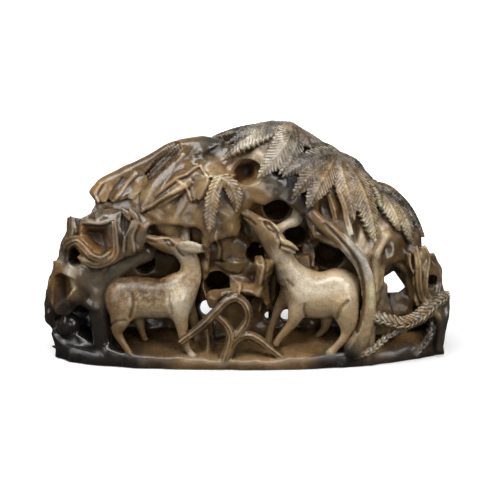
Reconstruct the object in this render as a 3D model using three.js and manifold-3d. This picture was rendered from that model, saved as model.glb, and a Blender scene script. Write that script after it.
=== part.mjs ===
// A mountain carved from one boulder of brown and grey jade: two deer under drooping
// leaves, among hollowed rocks, roots and pine branches. It is one solid.
// Millimetres, +Z up, X along the length, the deer face the viewer at -Y.
// The origin is the middle of the flat underside.
import * as THREE from "three";
import { ConvexGeometry } from "three/addons/geometries/ConvexGeometry.js";
import { mergeVertices } from "three/addons/utils/BufferGeometryUtils.js";
import Module from "manifold-3d";

// Driving sizes of the stone.
const LENGTH = 150;
const DEPTH = 50;
const HEIGHT = 88;

// Sizes of the carving that are set on their own.
const GROUND_FRONT = 2.3; // the ground's height at its front edge
const GROUND_BACK = 6.2; // and behind the deer, where it has risen
const LEAF_THICKNESS = 4; // from the midrib to the underside
const LEAF_EDGE_DROP = 1.1; // the edges lie this far under the midrib
const LEAF_PROUD = 2.1; // the midrib stands this far out of the stone
const OVERLAP = LEAF_PROUD + 1.1; // and this far where a spray lies over its neighbour
const RIDGE_DROP = 1.6; // a rock's ridge lies this far over the feet of its two faces
const BARK_RADIUS = 2.5; // the pine branch at the right
const ROOT_RADIUS = 1.9; // the roots at the middle

// Places below are drawn on a stone of this size, and follow the real one.
const DRAWN = { length: 150, depth: 50, height: 88 };
const ALONG = LENGTH / DRAWN.length;
const ACROSS = DEPTH / DRAWN.depth;
const UP = HEIGHT / DRAWN.height;
const BULK = Math.cbrt(ALONG * ACROSS * UP);

// The carving is laid out for an eye 15 degrees above the ground. Many places are noted
// as X, Y and the height at which this eye sees them: Z and the fall of its line of sight.
const TILT = Math.tan(THREE.MathUtils.degToRad(15));
const seen = (places) => places.map(([x, y, height, ...rest]) => [x, y, height - TILT * y, ...rest]);

const STONE = new THREE.MeshStandardMaterial({ color: 0x9c8668, roughness: 0.25, metalness: 0 });

const wasm = await Module();
wasm.setup();

function at([x, y, z]) {
  return new THREE.Vector3(x * ALONG, y * ACROSS, z * UP);
}

// A closed geometry as a solid that can be joined and cut.
function solid(geometry) {
  const bare = geometry.index ? geometry.toNonIndexed() : geometry.clone();
  bare.deleteAttribute("normal");
  bare.deleteAttribute("uv");
  const merged = mergeVertices(bare, 1e-4);
  return new wasm.Manifold(
    new wasm.Mesh({
      numProp: 3,
      vertProperties: merged.attributes.position.array,
      triVerts: new Uint32Array(merged.index.array),
    }),
  );
}

function union(solids) {
  return wasm.Manifold.union(solids);
}

// Moves each vertex of a cylinder: row says how far along it lies, from 0 to rows,
// and side and front are its place on the unit circle, both 0 at a cap's middle.
function bend(sides, rows, move) {
  const geometry = new THREE.CylinderGeometry(1, 1, 1, sides, rows);
  const position = geometry.attributes.position;
  for (let i = 0; i < position.count; i++) {
    const row = Math.round((0.5 - position.getY(i)) * rows);
    const p = move(row, position.getX(i), position.getZ(i));
    position.setXYZ(i, p.x, p.y, p.z);
  }
  return solid(geometry);
}

// The stone's own form: a long dome. Its crest is [x, z], and its half depth [x, y].
const SKYLINE = [
  [-75, 20], [-72.5, 32.5], [-68, 41.5], [-65.5, 50.5], [-58.5, 51.5], [-55, 61], [-47, 65], [-38, 70],
  [-30, 73.4], [-25, 77.5], [-17, 81], [-12, 79.2], [-5, 81], [5, 86], [9, 86.9], [16, 84.2],
  [26, 78.6], [33, 73], [37, 72.2], [43, 62], [48, 62.3], [55, 57], [60, 52.7], [64, 41], [68.5, 35],
  [72, 26], [75, 20],
];
const HALF_DEPTHS = [
  [-75, 5], [-72, 8], [-66, 15], [-55, 19.5], [-40, 22.8], [-20, 24.6], [0, 25], [20, 24.2], [35, 21.8],
  [45, 19.2], [60, 12.6], [70, 6.4], [75, 5],
];
const DEPTH_POWER = 2.4;
const SKY_POWER = 2.6;

function between(table, x) {
  const next = Math.max(1, table.findIndex(([place]) => place >= x));
  const [x0, value0] = table[next - 1];
  const [x1, value1] = table[next];
  return THREE.MathUtils.mapLinear(x, x0, x1, value0, value1);
}

const skyline = (x) => between(SKYLINE, x);
const halfDepth = (x) => between(HALF_DEPTHS, x);

// All but one of its sides lie on the arch, and the last is the underside's middle.
function dome() {
  const sides = 10;
  const rows = SKYLINE.length - 1;
  return bend(sides, rows, (row, side, front) => {
    const [x, top] = SKYLINE[rows - row];
    const around = Math.round((Math.atan2(side, front) / (2 * Math.PI)) * sides + sides) % sides;
    const reach = Math.hypot(side, front) > 0.5 ? 1 : 0;
    const onArch = around < sides - 1;
    const angle = onArch ? (Math.PI * around) / (sides - 2) : 0;
    const [across, up] = onArch ? [Math.cos(angle), Math.sin(angle)] : [0, 0];
    const y = Math.sign(across) * Math.abs(across) ** (2 / DEPTH_POWER);
    const z = Math.abs(up) ** (2 / SKY_POWER);
    const middle = 0.3 * (1 - reach); // lifts the caps' middle off the underside
    return at([x, halfDepth(x) * y * reach, top * (z * reach + middle)]);
  });
}

// A place on the dome at X and a height, moved out along the surface's normal by lift.
// The height is the seen one at the front (side -1), and Z at the back (side 1).
function onDome([x, height], side, lift) {
  const wide = halfDepth(x);
  const tall = skyline(x);
  const depth = (z) => wide * Math.max(0, 1 - (z / tall) ** SKY_POWER) ** (1 / DEPTH_POWER);
  const shown = (z) => (side < 0 ? z - TILT * depth(z) : z);
  let low = 0;
  let high = tall;
  for (let halving = 0; halving < 30; halving++) {
    const half = (low + high) / 2;
    [low, high] = shown(half) < height ? [half, high] : [low, half];
  }
  const place = [x, side * depth(low), low];
  const field = (px, py, pz) =>
    Math.abs(py / halfDepth(px)) ** DEPTH_POWER + (pz / skyline(px)) ** SKY_POWER;
  const slope = [0, 1, 2].map((axis) => {
    const [less, more] = [-0.5, 0.5].map((step) => field(...place.with(axis, place[axis] + step)));
    return more - less;
  });
  return at(place).addScaledVector(new THREE.Vector3(...slope).normalize(), lift * BULK);
}

// A rounded hollow: [x, y, z, and its reach along X, Y and Z].
function hollow([x, y, z, rx, ry, rz]) {
  const geometry = new THREE.SphereGeometry(1, 8, 6);
  geometry.rotateX(Math.PI / 2);
  geometry.scale(rx * ALONG, ry * ACROSS, rz * UP);
  const centre = at([x, y, z]);
  geometry.translate(centre.x, centre.y, centre.z);
  return solid(geometry);
}

// A drilled hole through a place: [x, y, z, radius, reach to the front, reach to the
// back, slope]. It widens a little towards the front.
function drill([x, y, z, radius, front, back, slope = 0]) {
  const mouth = 1.12;
  return bend(6, 1, (row, side, up) => {
    const step = row === 0 ? -front : back;
    const r = radius * BULK * (row === 0 ? mouth : 1);
    return at([x, y + step, z - slope * step]).add(new THREE.Vector3(-r * side, 0, r * up));
  });
}

// A block of rock with flat faces, through its corners.
function block(corners) {
  return solid(new ConvexGeometry(corners.map(at)));
}

// A round-ended limb through stations of [x, y, z, radius]. flat squeezes it along Y.
function limb(stations, { sides = 5, perSpan = 1, flat = 1 } = {}) {
  const curve = new THREE.CatmullRomCurve3(stations.map(at));
  const spans = stations.length - 1;
  const rows = spans * perSpan + 2;
  const endRing = 0.7; // the last ring's radius, and its distance past the last station
  return bend(sides, rows, (row, side, up) => {
    const pole = Math.hypot(side, up) < 0.5;
    const t = THREE.MathUtils.clamp((row - 1) / (rows - 2), 0, 1);
    const span = Math.min(Math.floor(t * spans), spans - 1);
    const [here, next] = [stations[span][3], stations[span + 1][3]];
    const radius = BULK * THREE.MathUtils.lerp(here, next, t * spans - span);
    const tangent = curve.getTangent(t);
    const depthWise = new THREE.Vector3(0, 1, 0).addScaledVector(tangent, -tangent.y).normalize();
    const other = new THREE.Vector3().crossVectors(tangent, depthWise);
    const past = row === 0 ? -1 : row === rows ? 1 : 0;
    const ring = pole ? 0 : past ? endRing : 1;
    return curve
      .getPoint(t)
      .addScaledVector(tangent, past * radius * (pole ? 1 : endRing))
      .addScaledVector(depthWise, radius * ring * flat * side)
      .addScaledVector(other, radius * ring * up);
  });
}

// A strip on the dome from base over middle to tip, each [x, height], with a ridge along
// it. outline gives its half width at each row, drop how far its edges lie under the ridge.
function strip([base, middle, tip], width, outline, { side, lift, swell, drop }) {
  const first = onDome(base, side, lift);
  const top = onDome(middle, side, lift + swell);
  const last = onDome(tip, side, lift - 0.3);
  const bow = top.clone().multiplyScalar(2).sub(first.clone().add(last).multiplyScalar(0.5));
  const curve = new THREE.QuadraticBezierCurve3(first, bow, last);
  const out = onDome(middle, side, 2).sub(onDome(middle, side, 1));
  const rows = outline.length - 1;
  return bend(4, rows, (row, edge, face) => {
    const t = row / rows;
    const tangent = curve.getTangent(t);
    const normal = out.clone().addScaledVector(tangent, -out.dot(tangent)).normalize();
    const across = new THREE.Vector3().crossVectors(normal, tangent);
    const half = (width / 2) * BULK * outline[row];
    const height = face > 0.5 ? 0 : face < -0.5 ? -LEAF_THICKNESS : -drop;
    const inset = Math.hypot(edge, face) < 0.5 ? -LEAF_THICKNESS / 2 : height;
    return curve
      .getPoint(t)
      .addScaledVector(across, half * Math.round(edge))
      .addScaledVector(normal, inset);
  });
}

const LEAF_OUTLINE = [0.5, 1, 0.9, 0.08];
const PLAIN_OUTLINE = [0.5, 1, 0.08];

function leaflet(base, middle, tip, width, side = -1, lift = LEAF_PROUD) {
  const outline = side < 0 ? LEAF_OUTLINE : PLAIN_OUTLINE;
  return strip([base, middle, tip], width, outline, { side, lift, swell: 0.6, drop: LEAF_EDGE_DROP });
}

function facet([start, middle, end, width, lift]) {
  return strip([start, middle, end], width, PLAIN_OUTLINE, { side: -1, lift, swell: 0, drop: RIDGE_DROP });
}

// A recess cut in from one side: its mouth follows an outline of [x, z], and it narrows
// to a flat wall at wallY. side is -1 at the front and 1 at the back.
function recess(outline, side, wallY, narrow = 0.72) {
  const middle = (axis) => outline.reduce((sum, point) => sum + point[axis], 0) / outline.length;
  const [cx, cz] = [middle(0), middle(1)];
  return block(
    outline.flatMap(([x, z]) => [
      [x, side * 30, z],
      [cx + (x - cx) * narrow, wallY, cz + (z - cz) * narrow],
    ]),
  );
}

// Recesses, each as the outline of its mouth in [x, z] and the Y of its wall: behind the
// left deer, its head, low at the left end, behind the roots, between the deer, behind the
// right deer, its head, and beside the window.
const FRONT_RECESSES = [
  [[[-58, 6], [-58, 28], [-53, 40], [-38, 46], [-14, 44], [-12, 30], [-13, 3], [-50, 3]], -4],
  [[[-40, 40], [-38, 52], [-30, 55], [-14, 52], [-13, 38]], -12],
  [[[-80, 9], [-80, 20], [-62, 23], [-53, 20], [-52, 3], [-62, 3]], -5],
  [[[-16, 3], [-17, 20], [-8, 30], [4, 28], [14, 18], [14, 3]], -6],
  [[[-17, 26], [-16, 47], [-6, 51], [4, 46], [5, 28]], -12],
  [[[4, 3], [2, 28], [8, 43], [24, 51], [40, 44], [47, 32], [47, 14], [41, 3]], -4],
  [[[-7, 46], [-6, 56], [1, 62], [13, 63], [24, 57], [26, 46], [16, 38], [4, 38]], -7],
  [[[46, 3], [45, 22], [49, 38], [57, 41], [64, 31], [71, 17], [71, 3]], 4],
];
// The back is cut more simply: a row of grottoes.
const BACK_RECESSES = [
  [[[-62, 5], [-60, 24], [-48, 34], [-36, 26], [-34, 5]], 10],
  [[[-28, 5], [-30, 28], [-16, 40], [0, 32], [2, 5]], 11],
  [[[8, 5], [8, 24], [20, 37], [34, 30], [36, 5]], 11],
  [[[44, 5], [42, 26], [52, 34], [63, 24], [64, 5]], 8],
];
// Rounded hollows, the last three at the back.
const HOLLOWS = [
  [-1, -18.5, 74, 6, 8, 5], [39, -20, 50, 2.2, 6, 5], [-40, 22, 45, 10, 8, 6], [0, 23, 52, 11, 8, 6],
  [36, 22, 46, 10, 8, 6],
];
// Drilled holes. Those that slope go right through.
const DRILLED = [
  [-63.2, -10, 39.1, 3.1, 10, 9], [-38.5, -4, 35, 3.7, 8, 12], [-11.5, -4, 29.2, 4.3, 14, 14],
  [10.2, -8, 57, 4.6, 14, 14], [-0.6, -14, 73, 3.4, 8, 14], [2.4, -6, 40.2, 3, 10, 10],
  [30, -4, 39, 5.5, 6, 12], [17.2, -7, 46.2, 3.4, 6, 10], [67.6, -8, 28.6, 2.2, 8, 9],
  [-15.1, 0, 16.5, 2.9, 18, 30, TILT], [7.5, 0, 13.6, 1.4, 16, 30, TILT],
  [14.4, 0, 13.6, 2.2, 16, 30, TILT],
];
// Rocks by their corners, as seen.
const ROCKS = [
  [
    [-21, -14.5, 53], [-16.2, -15, 53], [-15.6, -14, 43], [-18, -14.5, 41], [-20.5, -14, 44],
    [-22, -5, 54], [-15, -5, 54], [-15, -5, 40], [-21, -5, 41],
  ],
  [
    [-15.2, -13, 44.5], [-9, -14, 45], [-8.8, -14.5, 35], [-15.2, -13.5, 34.5], [-5.5, -12, 45],
    [-5.8, -12, 39], [-16, -3, 50], [-6, -3, 50], [-16, -3, 33], [-6, -3, 33],
  ],
  [
    [-6.2, -13, 29], [0.6, -14, 27.6], [1.2, -14, 25], [0.2, -13.5, 21.5], [-7, -13, 21.5],
    [-8, -3, 32], [3, -3, 32], [-8, -3, 20], [3, -3, 20],
  ],
  [
    [-15, -12.5, 34.5], [-4, -13.5, 33.8], [1.5, -12, 35], [-4, -13, 30], [-9, -11, 31.5],
    [-16, -3, 35], [3, -3, 36], [-6, -3, 29],
  ],
  [
    [1, -10, 41], [5, -12, 41], [6.6, -12, 28], [4, -11, 15], [0.5, -9, 15], [0, 0, 42], [8, 0, 42],
    [0, 0, 10], [6, 0, 10],
  ],
  [
    [6, -9, 34], [10.5, -10, 33], [9.6, -9, 18], [6, -8, 15], [6, 0, 36], [13, 0, 36], [6, 0, 12],
    [11, 0, 12],
  ],
  [
    [20, -8, 46], [25, -8, 44], [26, -9, 33], [24.5, -10, 30.5], [20.5, -10, 31], [20, 0, 47],
    [27, 0, 45], [20, 0, 29], [27, 0, 29],
  ],
  [
    [16.8, -11, 37], [21, -12, 36], [22.8, -12, 30.5], [18, -12, 30.5], [16, -2, 38], [24, -2, 38],
    [17, -2, 28], [25, -2, 28],
  ],
  [
    [-5, -15, 65.5], [3, -15.5, 63.8], [9, -14.5, 64.3], [8.4, -13.5, 61.5], [3, -15.5, 60.5],
    [-1, -16, 57.2], [-3, -16, 60], [-5, -6, 67], [9, -6, 66], [-2, -6, 56], [8, -6, 60],
  ],
  [
    [-17.2, -12.5, 70], [-9, -12, 71], [-4.8, -14.5, 66.3], [-14.6, -17.5, 66.3], [-15, -12, 60],
    [-5, -12, 60], [-17, -4, 69], [-6, -4, 69],
  ],
  [
    [-38.2, -16, 53.4], [-22.8, -15.5, 62.4], [-15, -16.5, 65], [-14.6, -18.5, 54], [-20, -19, 51.8],
    [-27, -18.5, 52], [-36, -8, 52], [-16, -8, 50], [-16, -6, 66], [-30, -6, 62],
  ],
  [
    [-22.8, -15.5, 62.5], [-26.5, -15, 66.5], [-21, -13.5, 66], [-18, -14.5, 70], [-15, -17, 66],
    [-15, -16.5, 60], [-26, -5, 68], [-16, -5, 70], [-20, -5, 60],
  ],
  [
    [-57, -6, 60.5], [-54.6, -5, 64.2], [-47, -4, 67.8], [-38, -5, 71], [-36, -8, 68], [-38.6, -12, 62],
    [-41.5, -13, 57.8], [-47, -12, 57.6], [-52, -10.5, 56.5], [-56, -8, 57.6], [-55, 2, 60],
    [-40, 2, 66],
  ],
  [
    [-60.5, -14, 49.6], [-49, -17.5, 49.2], [-46, -16, 53], [-56, -11, 53], [-62, -14.5, 40],
    [-57.5, -17, 31.5], [-52, -18.5, 32.2], [-47.4, -18.5, 35], [-46.3, -17.8, 44], [-62, -4, 50],
    [-46, -4, 53], [-60, -4, 31], [-47, -4, 35],
  ],
  [
    [-66, -5, 51.8], [-63.5, -6.5, 51], [-63.4, -9.5, 43.5], [-66, -9.5, 42.6], [-66.2, 2, 50],
    [-62, 2, 50.5], [-66, 2, 42], [-62, 2, 42],
  ],
  [
    [-74.3, -2, 17.5], [-74.5, -2, 27], [-72, -4.5, 34.5], [-64, -13, 33], [-57.5, -16, 30.4],
    [-58, -17, 20.5], [-65.2, -14.5, 14.8], [-70.5, -9.5, 14.6], [-60, 0, 17], [-60, 0, 36],
  ],
  [
    [-75, -3, 0], [-71, -10, -2.6], [-64, -14, -3.7], [-56, -16, -4.3], [-56, -13, 2.5],
    [-65, -12, 7.5], [-70.5, -5, 10.5], [-71, 2, 8], [-60, 2, 14], [-56, 2, 0],
  ],
  [
    [-42, -18, 49.2], [-39.8, -18, 48.8], [-38.2, -17.5, 45.5], [-44.5, -18.5, 44], [-45.3, -18, 40],
    [-44, -17.5, 36.2], [-40, -17.5, 36.5], [-37, -17, 40], [-44, -6, 50], [-38, -6, 48], [-45, -6, 37],
    [-38, -6, 38],
  ],
  [
    [46.8, -14, 26], [51.2, -12, 25.4], [53.2, -12, 15], [46.3, -15, 15], [46.3, -15, 6],
    [53.6, -12, 6], [47, 0, 26], [51, 0, 25], [53, 0, 6], [46, 0, 6],
  ],
  [
    [61, -12, 37.5], [63, -9, 39.8], [65.2, -7, 39.9], [67.2, -5, 38], [68.7, -4, 35], [70.6, -3, 31.5],
    [71.7, -2.5, 28.5], [71.6, -3, 24], [66, -9, 18], [62, -11.5, 17], [60.5, -12.5, 22],
    [60.3, -12.5, 31], [62, 4, 39], [70, 4, 30], [71, 4, 20], [62, 4, 18],
  ],
  [[56.8, -12, 37.6], [59.8, -13, 38.4], [60.6, -13.4, 29], [58, -12, 33], [58, 0, 38], [61, 0, 29]],
  [
    [52.4, -4, 22.6], [58.2, -4, 24], [61, -5, 21], [61, -6, 15], [52.5, -5, 14], [52.4, 3, 22.6],
    [61, 3, 22], [61, 3, 14], [52, 3, 14],
  ],
  [
    [70.3, -7, 22.3], [71.5, -5, 23], [74.2, -3, 22.8], [75, -2.5, 21.6], [75, -2, 20], [73.8, -3, 10],
    [72.8, -3.5, 2], [71.2, -5, 2], [71.8, -5.5, 14], [71, 5, 23], [75, 4, 20], [72.8, 5, 2],
    [70, 5, 2],
  ],
];
// Cut into the left rocks as seen: a pocket of two panels, and a wide scoop.
const POCKETS = [
  [
    [-72.2, -20, 28.5], [-69, -20, 30.5], [-63.4, -20, 27.6], [-63.4, -20, 25.2], [-66.6, -20, 20.4],
    [-72.2, -20, 16.3], [-68.3, -6.6, 20.5], [-68.3, -6.6, 28.6],
  ],
  [
    [-61.8, -22, 44.6], [-60, -22, 48.6], [-50.2, -22, 48.1], [-48.9, -22, 40], [-51.6, -22, 36.4],
    [-56.4, -22, 38.8], [-58, -10.5, 45.4], [-52, -10.5, 45.8], [-51.6, -11.5, 40.5], [-55, -11.5, 41],
  ],
];
// Cut off the ends through the whole depth, each as an outline in [x, z].
const SIDE_CUTS = [
  [[-75.6, 16], [-71, 3.8], [-90, 3.8], [-90, 16]],
  [[-71, 3.8], [-72.7, 1.4], [-72.7, -5], [-90, -5], [-90, 3.8]],
  [[75.4, 20.5], [72.6, 3], [90, 3], [90, 20.5]], [[72.6, 3], [74, 1.6], [74, -5], [90, -5], [90, 3]],
  [[-57.5, 58.5], [-54, 53.4], [-60, 53]],
];
// The window right of the trunk as seen, cut along the line of sight: [x, height].
const WINDOW = [[50.4, 28.2], [54.4, 30.8], [58.8, 24.4], [56.4, 22.5], [51.8, 22.3]];
// Ridges where the rock folds, half sunk in it.
const RIDGES = [
  seen([
    [-67, -10, 36.5, 2], [-66, -12, 40.5, 2.2], [-62.5, -13.5, 42, 2.3], [-59.2, -15, 39.3, 2.6],
    [-57, -17, 36.8, 2.2], [-53.5, -17.8, 35.4, 2], [-51, -18, 36.8, 1.4],
  ]),
  seen([[31, -17.5, 60, 1.4], [32.5, -18, 54, 1.4], [33.5, -19, 47.5, 1.3]]),
];
// Ridges between flat faces of the rock: start, middle and end as seen on the dome, width
// and how far they stand out.
const FACETS = [
  [[16, 85], [22, 81.6], [28, 77.5], 7, LEAF_PROUD], [[-23.5, 76], [-28, 69.5], [-36.8, 56.5], 8, 1.3],
  [[-20, 66.3], [-28.5, 63.2], [-38.2, 53.6], 6, 2.0], [[-21, 64], [-29, 59], [-38.5, 52.9], 5, 1.9],
  [[-46, 66.4], [-48.6, 62.8], [-51.5, 59], 5, 2.6], [[-38, 71], [-43.2, 64], [-47.8, 57.3], 9, 3.0],
  [[-47, 52.4], [-54, 50.9], [-61, 49.4], 6, 1.8],
];

function ground() {
  const risenY = -12;
  const frontEdge = -DRAWN.depth / 2;
  const slope = (GROUND_BACK - GROUND_FRONT) / (risenY - frontEdge);
  const outline = [
    [frontEdge - 5, GROUND_FRONT - 5 * slope], [risenY, GROUND_BACK], [30, GROUND_BACK], [30, -5 * UP],
    [frontEdge - 5, -5 * UP],
  ];
  return block([-80, 80].flatMap((x) => outline.map(([y, z]) => [x, y, z / UP])));
}

function throughCut(outline) {
  return block(outline.flatMap(([x, z]) => [[x, -30, z], [x, 30, z]]));
}

function rock() {
  const stone = dome();
  const recesses = union([
    ...FRONT_RECESSES.map(([outline, wall]) => recess(outline, -1, wall)),
    ...BACK_RECESSES.map(([outline, wall]) => recess(outline, 1, wall)),
  ]);
  const rocks = ROCKS.map((corners) => block(seen(corners)));
  const cuts = union([
    ...HOLLOWS.map(hollow),
    ...DRILLED.map(drill),
    ...POCKETS.map((corners) => block(seen(corners))),
    block(seen(WINDOW.flatMap(([x, height]) => [[x, -25, height], [x, 30, height]]))),
  ]);
  const risen = union([stone.subtract(recesses), ...rocks]).subtract(cuts);
  return union([risen, stone.intersect(ground())]).subtract(union(SIDE_CUTS.map(throughCut)));
}

// Each deer is its limbs, as stations and how far the limb is squeezed along Y: the trunk,
// neck and head, then ears, antlers, tail and legs.
const LEFT_DEER = [
  [[[-45.3, -15, 24.9, 7.5], [-40, -15, 24.9, 7.7], [-32, -15, 24.3, 7.3], [-27, -15, 25, 7.2]], 0.8],
  [
    [
      [-26, -15, 27, 6.6], [-22, -15, 31.5, 4.7], [-21, -15, 36.5, 3.7], [-22.6, -15.2, 41, 3.5],
      [-25.5, -15.5, 44.2, 3.6], [-29.5, -16, 45, 3.1], [-34, -16.6, 46.5, 2.1],
      [-38.2, -17, 48.4, 1.2],
    ],
    0.85,
  ],
  [[[-24.3, -18, 44.9, 1.9], [-19.8, -18.3, 44.2, 1.9], [-15.4, -17, 43.6, 0.5]], 0.6],
  [[[-24.5, -13, 46.5, 1.3], [-21, -11.5, 47.4, 1.6], [-17.5, -10.5, 47.8, 0.5]], 0.6],
  [[[-23, -15, 46.8, 1.8], [-23, -14.5, 50.5, 1.6], [-22.6, -14, 54.5, 1.7], [-24, -13, 58.5, 1.5]], 1],
  [[[-23.6, -14.5, 51.2, 1.2], [-27.6, -14.8, 52.2, 1.5]], 1],
  [[[-52, -14.5, 28, 1.6], [-53.3, -14, 24, 0.9]], 1],
  [
    [
      [-45.5, -17, 23, 5.4], [-47, -18.6, 16.5, 3.3], [-47.8, -19.4, 12.6, 1.8], [-45, -20, 7.6, 1.2],
      [-42.4, -20.4, 3.6, 1.1], [-40.6, -21.2, 2.9, 1.1],
    ],
    1,
  ],
  [[[-41.5, -12, 19, 3.6], [-40, -11, 13, 1.7], [-38.6, -10, 8.5, 1.1], [-37.4, -9.5, 5.6, 1.3]], 1],
  [
    [
      [-26.2, -17.8, 23.5, 4.6], [-24.6, -19.2, 17.5, 2.7], [-23.6, -20, 11, 1.7],
      [-22, -20.5, 6.5, 1.2], [-19.8, -21.2, 3.6, 1.3],
    ],
    1,
  ],
  [[[-22.8, -12, 21, 3.2], [-19.8, -11, 14, 1.6], [-18.6, -10.5, 6, 1.3]], 1],
];
const RIGHT_DEER = [
  [[[32.6, -14, 26.6, 8.9], [27, -14, 25.2, 8.5], [21.5, -14, 25.2, 8.2]], 0.8],
  [
    [
      [21, -14, 27.5, 7.4], [15.8, -14.6, 33, 5.4], [12.8, -15.2, 38.5, 4.4], [10.6, -15.8, 43.5, 4.4],
      [8, -16.3, 48.2, 4.1], [4.8, -16.9, 52, 3.2], [1.2, -17.5, 55.3, 2.2], [-1.8, -18, 57.8, 1.5],
    ],
    0.85,
  ],
  [[[11.4, -19, 46.6, 1.9], [15, -19.3, 44.8, 2], [18.8, -18.2, 42.4, 0.5]], 0.6],
  [[[9.4, -17, 50, 2], [13.5, -15, 52.2, 1.6], [17.2, -13, 53.6, 2.4], [18.4, -11, 57, 2.3]], 1],
  [
    [
      [34.5, -16.4, 24, 6.2], [36.4, -18, 16.8, 3.8], [35.6, -18.6, 11.8, 1.9], [32.8, -19.4, 8, 1.4],
      [29.8, -20, 5.2, 1.5],
    ],
    1,
  ],
  [[[29.5, -10.5, 19, 3.4], [28.3, -10, 12, 1.6], [26.2, -9.6, 9.2, 1.2], [25, -9.4, 7.6, 1.3]], 1],
  [
    [
      [18.2, -16.6, 21, 3.7], [16.4, -17, 16.2, 2.1], [14.2, -17, 13.3, 1.6], [11.4, -17, 10, 1.2],
      [10.3, -17, 8, 1.3],
    ],
    1,
  ],
  [[[15, -11.5, 26, 3.2], [11.4, -11, 20, 1.9], [8.9, -11, 13.8, 1.3], [7.3, -11, 7.4, 1.4]], 1],
  [[[41, -13, 30, 1.7], [42, -13, 26, 1.1]], 1],
];

function deer(limbs) {
  return limbs.map(([stations, flat], n) => {
    const wide = Math.max(...stations.map((station) => station[3]));
    return limb(stations, { sides: n < 2 ? 6 : wide > 3 ? 5 : 4, flat });
  });
}

// Stems behind the deer and beside the window.
const STEMS = [
  [
    [-38, -10, 41, 4.2], [-46, -11, 37.5, 4.4], [-52.5, -12, 31, 4.6], [-54.5, -13, 22, 4.3],
    [-53.6, -14, 12, 4], [-52.5, -14, 3, 4.4],
  ],
  seen([
    [50.3, -12, 44, 1.5], [48, -14, 40, 1.5], [46.6, -16, 36, 1.5], [46.2, -17, 30, 1.4],
    [46, -18, 24, 1.4],
  ]),
  seen([[55, -6, 42, 1.8], [56, -6, 35, 1.8], [58.8, -7, 29, 1.7], [61, -8, 21, 1.8]]),
];
// The trunk that arches over the right deer's rump.
const TRUNK = seen([
  [23.2, -19, 52, 2.2], [29, -21, 46.5, 2.5], [37.5, -20.5, 38, 2.7], [42.8, -20, 28.5, 2.7],
  [43.8, -20, 18, 3], [41.2, -20, 6, 3.5], [38.6, -19.5, 1, 4],
]);
const PINE_BRANCHES = [
  seen([
    [45.5, -20, 13.5, 0.9 * BARK_RADIUS], [52.5, -20, 11.6, BARK_RADIUS], [56, -19.5, 11, BARK_RADIUS],
    [63.5, -13.5, 14, 1.1 * BARK_RADIUS], [66.8, -10.5, 16.8, 1.1 * BARK_RADIUS],
    [69.8, -7.5, 19.2, BARK_RADIUS], [73.2, -4, 21.2, 0.7 * BARK_RADIUS],
  ]),
  seen([
    [57, -17, 8.5, 0.55 * BARK_RADIUS], [54, -18, 7.6, 0.5 * BARK_RADIUS],
    [50.5, -19, 5.6, 0.55 * BARK_RADIUS], [44.5, -20, 0.3, 0.55 * BARK_RADIUS],
    [40, -21, -1.2, 0.5 * BARK_RADIUS],
  ]),
  seen([
    [68.6, -7.5, 13, 0.65 * BARK_RADIUS], [67.8, -8, 8, 0.7 * BARK_RADIUS],
    [65.5, -9, 3.6, 0.7 * BARK_RADIUS], [62.2, -10.5, -0.4, 0.75 * BARK_RADIUS],
  ]),
];
const ROOTS = [
  [
    [-24.4, -22, 10.2, 0.7 * ROOT_RADIUS], [-16.8, -22.3, 16.2, ROOT_RADIUS],
    [-11.7, -22, 21.4, ROOT_RADIUS], [-8, -21.5, 25, ROOT_RADIUS], [-4.6, -21, 26.3, ROOT_RADIUS],
    [-1.6, -21, 24.3, ROOT_RADIUS], [-0.2, -21, 20.8, 1.05 * ROOT_RADIUS],
    [-0.8, -21.5, 16.8, ROOT_RADIUS], [-4, -22, 12.5, ROOT_RADIUS],
  ],
  [
    [-12.2, -22, 20.6, 0.8 * ROOT_RADIUS], [-8, -22, 16.4, 0.9 * ROOT_RADIUS],
    [-6.4, -22.2, 12.3, ROOT_RADIUS], [-7.2, -22.2, 7.6, ROOT_RADIUS],
    [-8.6, -22, 3, 1.2 * ROOT_RADIUS],
  ],
  [
    [-8, -22, 4.4, ROOT_RADIUS], [-5.4, -22.2, 9.4, 0.9 * ROOT_RADIUS],
    [-2.2, -22.2, 12, 0.9 * ROOT_RADIUS], [1, -22.2, 12.4, 0.9 * ROOT_RADIUS],
    [4.8, -22.2, 10.2, 0.9 * ROOT_RADIUS], [8.4, -22, 7, 0.8 * ROOT_RADIUS],
    [12.4, -21.6, 3.6, 0.7 * ROOT_RADIUS],
  ],
];

function stems() {
  return [
    ...[...STEMS, ...PINE_BRANCHES].map((stations) => limb(stations)),
    limb(TRUNK, { flat: 0.8 }),
    ...ROOTS.map((stations) => limb(stations, { sides: 4 })),
  ];
}

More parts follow.
